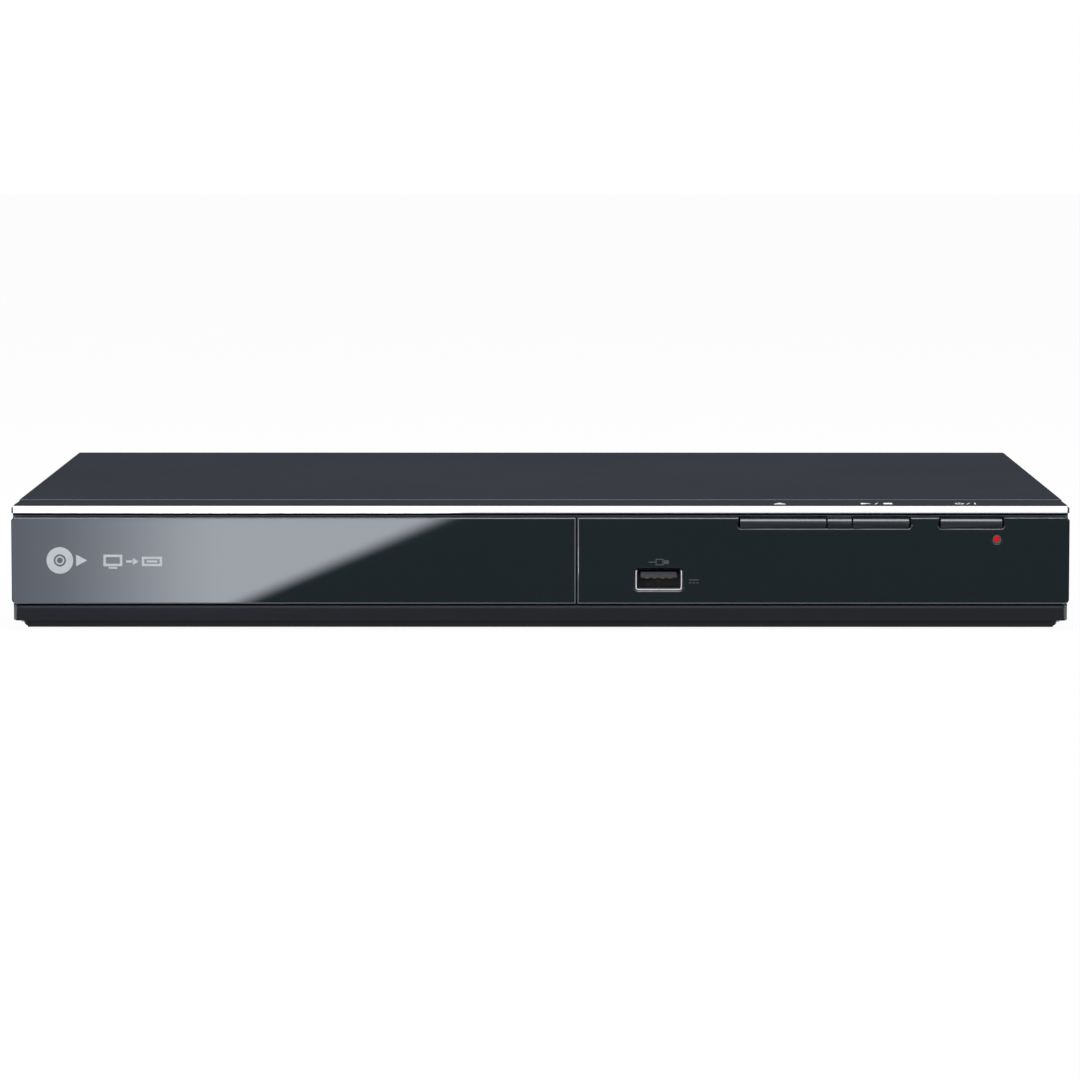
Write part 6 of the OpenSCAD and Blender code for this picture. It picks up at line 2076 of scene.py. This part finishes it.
@dataclass
class Drive:
    """Loader, traverse, pickup, turntable and clamper, in millimetres."""

    middle: tuple[float, float] = (-75.8, -32.5)
    stator_top: float = 14.45
    lens_reach: float = 24.0
    sled_top: float = 17.7
    spring: float = 9.0
    catch_turns: tuple[float, ...] = (30.0, 150.0, 270.0)

    def fittings(self) -> None:
        """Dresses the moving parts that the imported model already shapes."""
        wide = 400.0
        stator = Zone(Stock.STEEL, (-wide, -wide, 0), (wide, wide, self.stator_top))
        for fitting in (
                Fitting("spindle_motor", "lift", "copper", Stock.COPPER, 0.12, (stator,)),
                Fitting("spindle_rotor", "spindle", "steel", Stock.TURNED_STEEL, 0.3),
                Fitting("turntable", "spindle", "loader_plastic", Stock.LOADER_PLASTIC, 0.25),
                Fitting("turntable_pad", "spindle", "rubber_black", Stock.BLACK_RUBBER, 0.12),
                Fitting("clamper", "clamp", "white_plastic", Stock.WHITE_PLASTIC, 0.25),
                Fitting("clamper_magnet", "clamp", "magnet", Stock.MAGNET, 0.25),
                Fitting("grommets", "lift", "rubber_black", Stock.BLACK_RUBBER, 0.35),
                Fitting("feed_motor", "lift", "steel", Stock.STEEL, 0.4),
                Fitting("pickup_sled", "pickup", "grey_plastic", Stock.GREY_PLASTIC, 0.2),
                Fitting("clamper_bridge", "player", "steel", Stock.ZINC, 0.3),
                Fitting("cam_slider", "cam", "amber_plastic", Stock.AMBER_PLASTIC, 0.15),
        ):
            fitting.build()

    def lens_parts(self) -> None:
        """Puts the focus coil round the lens and its four spring wires."""
        x, y, top = self.middle[0], self.middle[1] + self.lens_reach, self.sled_top
        coil = Piece.band("focus_coil", (x, y, top), "+Z", 5.4, 1.0, 1.0, 40)
        coil.smooth(40).done("pickup", "copper", Stock.COPPER)
        wire = Piece.rod("lens_springs", (0, 0, 0), "+X", 0.12, self.spring, 8)
        wire.choose(Pick.FACES, lambda c, n: n.x > 0.9).inset(0.04)
        wire.repeat([shift(x - self.spring / 2, y + side, top + lift)
                     for side in (-6.2, 6.2) for lift in (0.2, 0.8)])
        wire.smooth(50).done("pickup", "gold", Stock.GOLD)

    def catches(self) -> None:
        """Sets the three sprung catches into the turntable's hub."""
        catch = Piece.rod("hub_catches", (6.3, 0, 21.9), "+X", 0.8, 1.2, 16)
        catch.choose(Pick.FACES, lambda c, n: n.x > 0.9).extrude((0.25, 0, 0), 0.6)
        catch.repeat([shift(*self.middle) @ spun(turn) for turn in self.catch_turns])
        catch.smooth(50).done("spindle", "steel", Stock.TURNED_STEEL)

    def clamper_rings(self) -> None:
        """Moulds two low rings on the clamper's top."""
        base = (*self.middle, corners("clamper")[1].z / MM - 0.05)
        ring = Piece.band("clamper_rings", base, "+Z", 17.6, 0.9, 0.4)
        ring.join(Piece.band("clamper_rings", base, "+Z", 12.6, 0.7, 0.3))
        ring.smooth(40).done("clamp", "white_plastic", Stock.WHITE_PLASTIC)

    def build(self) -> None:
        """Makes the drive's pieces."""
        self.fittings()
        self.lens_parts()
        self.catches()
        self.clamper_rings()


# ---------- studio ----------


@dataclass
class Studio:
    """Camera, lamps, floor and the cards that the gloss shows.

    Places and sizes are in metres, apart from those on the reflection card, which are in
    millimetres, as are the camera's distance and height that it reckons with.
    """

    eye: Point = (0.00249, -1.6285, 0.167)
    pitch: float = 90 - 5.2257
    yaw: float = 0.0973
    focal: float = 166.15
    sky: float = 0.55
    top_size: tuple[float, float] = (0.8, 0.5)
    top_radiance: float = 7.5
    top_at: Point = (0.0, -0.12, 1.25)
    front_size: tuple[float, float] = (1.3, 0.55)
    front_radiance: float = 1.5
    front_at: Point = (0.0, -1.05, 1.05)
    front_tilt: float = 43.0
    strip_size: tuple[float, float] = (1.8, 0.3)
    strip_radiance: float = 11.0
    strip_at: Point = (0.0, -0.78, 1.05)
    strip_tilt: float = 33.0
    floor_white: float = 0.95
    strip_colour: Colour = (0.93, 0.96, 1.03, 1.0)
    floor_size: float = 12.0
    matte: Colour = (0.9, 0.9, 0.9, 1.0)
    card_near: float = 0.004
    card_far: float = 0.9
    card_wide: float = 0.9
    card_above: float = 0.0005
    eye_reach: float = 1524.0
    eye_height: float = 167.0
    eye_side: float = 2.5
    slant_middle: tuple[float, float] = (-60.7, 21.1)
    slant_run: float = 2.39
    slant_blur: float = 7.0
    low_fade: tuple[float, float] = (66.0, 76.0)
    high_fade: tuple[float, float] = (398.0, 404.0)
    tint_start: float = -165.0
    tint_run: float = 70.0
    tint_radiance: float = 10.0
    tint: tuple[tuple[float, Colour], ...] = (
        (0.06, (0.25, 0.27, 0.33, 1)), (0.253, (0.315, 0.335, 0.395, 1)),
        (0.516, (0.505, 0.53, 0.61, 1)), (0.779, (0.75, 0.78, 0.86, 1)),
        (0.954, (0.84, 0.877, 0.96, 1)))
    unlit: Colour = (0.16, 0.2, 0.23, 1.0)
    beyond: Colour = (1.12, 1.12, 1.12, 1.0)

    def camera(self) -> None:
        """Sets the camera up in front, a little above the player."""
        data = bpy.data.cameras.new("camera")
        data.sensor_width, data.lens, data.clip_end = 36.0, self.focal, 50.0
        obj = bpy.data.objects.new("camera", data)
        obj.location = self.eye
        obj.rotation_euler = (math.radians(self.pitch), 0.0, math.radians(self.yaw))
        bpy.context.scene.collection.objects.link(obj)
        bpy.context.scene.camera = obj

    @staticmethod
    def seen(graph: Graph) -> Value:
        """1 for what the camera sees by itself, mirrored or through glass, otherwise 0."""
        path = graph.node("ShaderNodeLightPath").outputs
        straight, mirrored, through = (
            Value(graph, path[f"Is {name} Ray"]) for name in ("Camera", "Glossy", "Transmission"))
        return straight.highest(mirrored).highest(through)

    def world(self) -> None:
        """Makes the surroundings white to the camera, and a soft grey light otherwise."""
        world = bpy.data.worlds.new("studio")
        bpy.context.scene.world = world
        world.use_nodes = True
        graph = Graph(world.node_tree)
        strength = self.sky + self.seen(graph) * (1 - self.sky)
        white = {"Color": (1, 1, 1, 1), "Strength": strength}
        glow = graph.node("ShaderNodeBackground", values=white)
        graph.node("ShaderNodeOutputWorld", values={"Surface": glow.outputs[0]})

    @staticmethod
    def lamp(name: str, at: Point, size: tuple[float, float], radiance: float,
             tilt: float) -> None:
        """Hangs one soft rectangular lamp.

        Args:
            name: Name of the lamp.
            at: Its place in metres.
            size: Its width and height in metres.
            radiance: How bright its face is, where 1 is white.
            tilt: Its turn about X in degrees; unturned it shines down.
        """
        data = bpy.data.lights.new(name, "AREA")
        data.shape, data.size, data.size_y = "RECTANGLE", *size
        data.energy = radiance * math.pi * size[0] * size[1]
        obj = bpy.data.objects.new(name, data)
        obj.location = at
        obj.rotation_euler = (math.radians(tilt), 0.0, 0.0)
        bpy.context.scene.collection.objects.link(obj)

    def floor(self) -> None:
        """Lays the pale floor, which shows white to the camera apart from the shadow on it."""
        Piece.alone()
        # a little under the feet, so that the two never lie in one plane
        bpy.ops.mesh.primitive_plane_add(size=self.floor_size, location=(0, 0, -0.0001))
        obj = bpy.context.object
        obj.name = "floor"
        material = bpy.data.materials.new("floor_white")
        material.use_nodes = True
        graph = Graph(material.node_tree)
        matte = graph.node("ShaderNodeBsdfDiffuse", values={"Color": self.matte}).outputs[0]
        white = graph.node("ShaderNodeEmission", values={"Strength": 1.0}).outputs[0]
        share = self.seen(graph) * self.floor_white
        graph.show(graph.node("ShaderNodeMixShader", values={0: share, 1: matte, 2: white}))
        obj.data.materials.append(material)

    def card(self) -> None:
        """Lays the card that only the gloss shows: a bright sheet that ends in a soft slant."""
        front = corners("tray_door")[0].y
        middle = (0, front - (self.card_near + self.card_far) / 2, self.card_above)
        size = (self.card_wide, self.card_far - self.card_near)
        graph = self.sheet("reflection_card", middle, size, 0.0)
        position = graph.node("ShaderNodeNewGeometry").outputs["Position"]
        floor_x, floor_y = (
            Value(graph, part) * (1 / MM)
            for part in graph.node("ShaderNodeSeparateXYZ", values={0: position}).outputs[:2])
        ahead = front / MM - floor_y
        # where on the front face the camera sees this place mirrored
        share = ahead / self.eye_reach
        x = (floor_x + share * self.eye_side) / (share + 1.0)
        z = share * self.eye_height / (share + 1.0)
        slant_x, slant_z = self.slant_middle
        edge = (z - slant_z) * self.slant_run + slant_x
        lit = (x - edge).step(self.slant_blur, -self.slant_blur)
        across = (x - self.tint_start) / self.tint_run
        ramp = graph.node("ShaderNodeValToRGB", {"stops": self.tint}, {"Fac": across})
        bright = graph.node("ShaderNodeVectorMath", {"operation": "SCALE"},
                            {0: ramp.outputs[0], "Scale": self.tint_radiance})
        colour = graph.mix(lit * ahead.step(*self.low_fade), self.unlit, bright.outputs[0])
        graph.glow(graph.mix(ahead.step(*self.high_fade), colour, self.beyond))

    @staticmethod
    def sheet(name: str, at: Point, size: tuple[float, float], tilt: float) -> Graph:
        """Hangs a glowing sheet that only shiny surfaces show.

        Args:
            name: Name of the sheet.
            at: Its middle in metres.
            size: Its width and depth in metres.
            tilt: Its turn about X in degrees.

        Returns:
            The empty graph of its material.
        """
        Piece.alone()
        bpy.ops.mesh.primitive_plane_add(
            size=1.0, location=at, rotation=(math.radians(tilt), 0, 0))
        obj = bpy.context.object
        obj.name = name
        obj.scale = (*size, 1)
        bpy.ops.object.transform_apply(location=True, rotation=True, scale=True)
        for way in ("camera", "diffuse", "transmission", "shadow"):
            setattr(obj, "visible_" + way, False)
        material = bpy.data.materials.new(name + "_glow")
        material.use_nodes = True
        obj.data.materials.append(material)
        return Graph(material.node_tree)

    def strip_light(self) -> None:
        """Hangs the strip that the keys' slanted tops mirror."""
        graph = self.sheet("strip_light", self.strip_at, self.strip_size, self.strip_tilt)
        graph.glow(self.strip_colour, self.strip_radiance)

    def build(self) -> None:
        """Sets up the whole studio."""
        bpy.context.scene.view_settings.view_transform = "Standard"
        self.camera()
        self.world()
        self.lamp("overhead", self.top_at, self.top_size, self.top_radiance, 0.0)
        self.lamp("frontal", self.front_at, self.front_size, self.front_radiance, self.front_tilt)
        self.floor()
        self.card()
        self.strip_light()


def main() -> None:
    """Builds and dresses the player, and then sets up the studio."""
    logging.basicConfig(level=logging.INFO, format="%(message)s")
    dress_carried_over()
    for assembly in (Cabinet(), FrontPanel(), DiscTray(), Drive(), Electronics()):
        LOG.info("building %s", type(assembly).__name__)
        assembly.build()
    Studio().build()


if __name__ == "__main__":
    main()
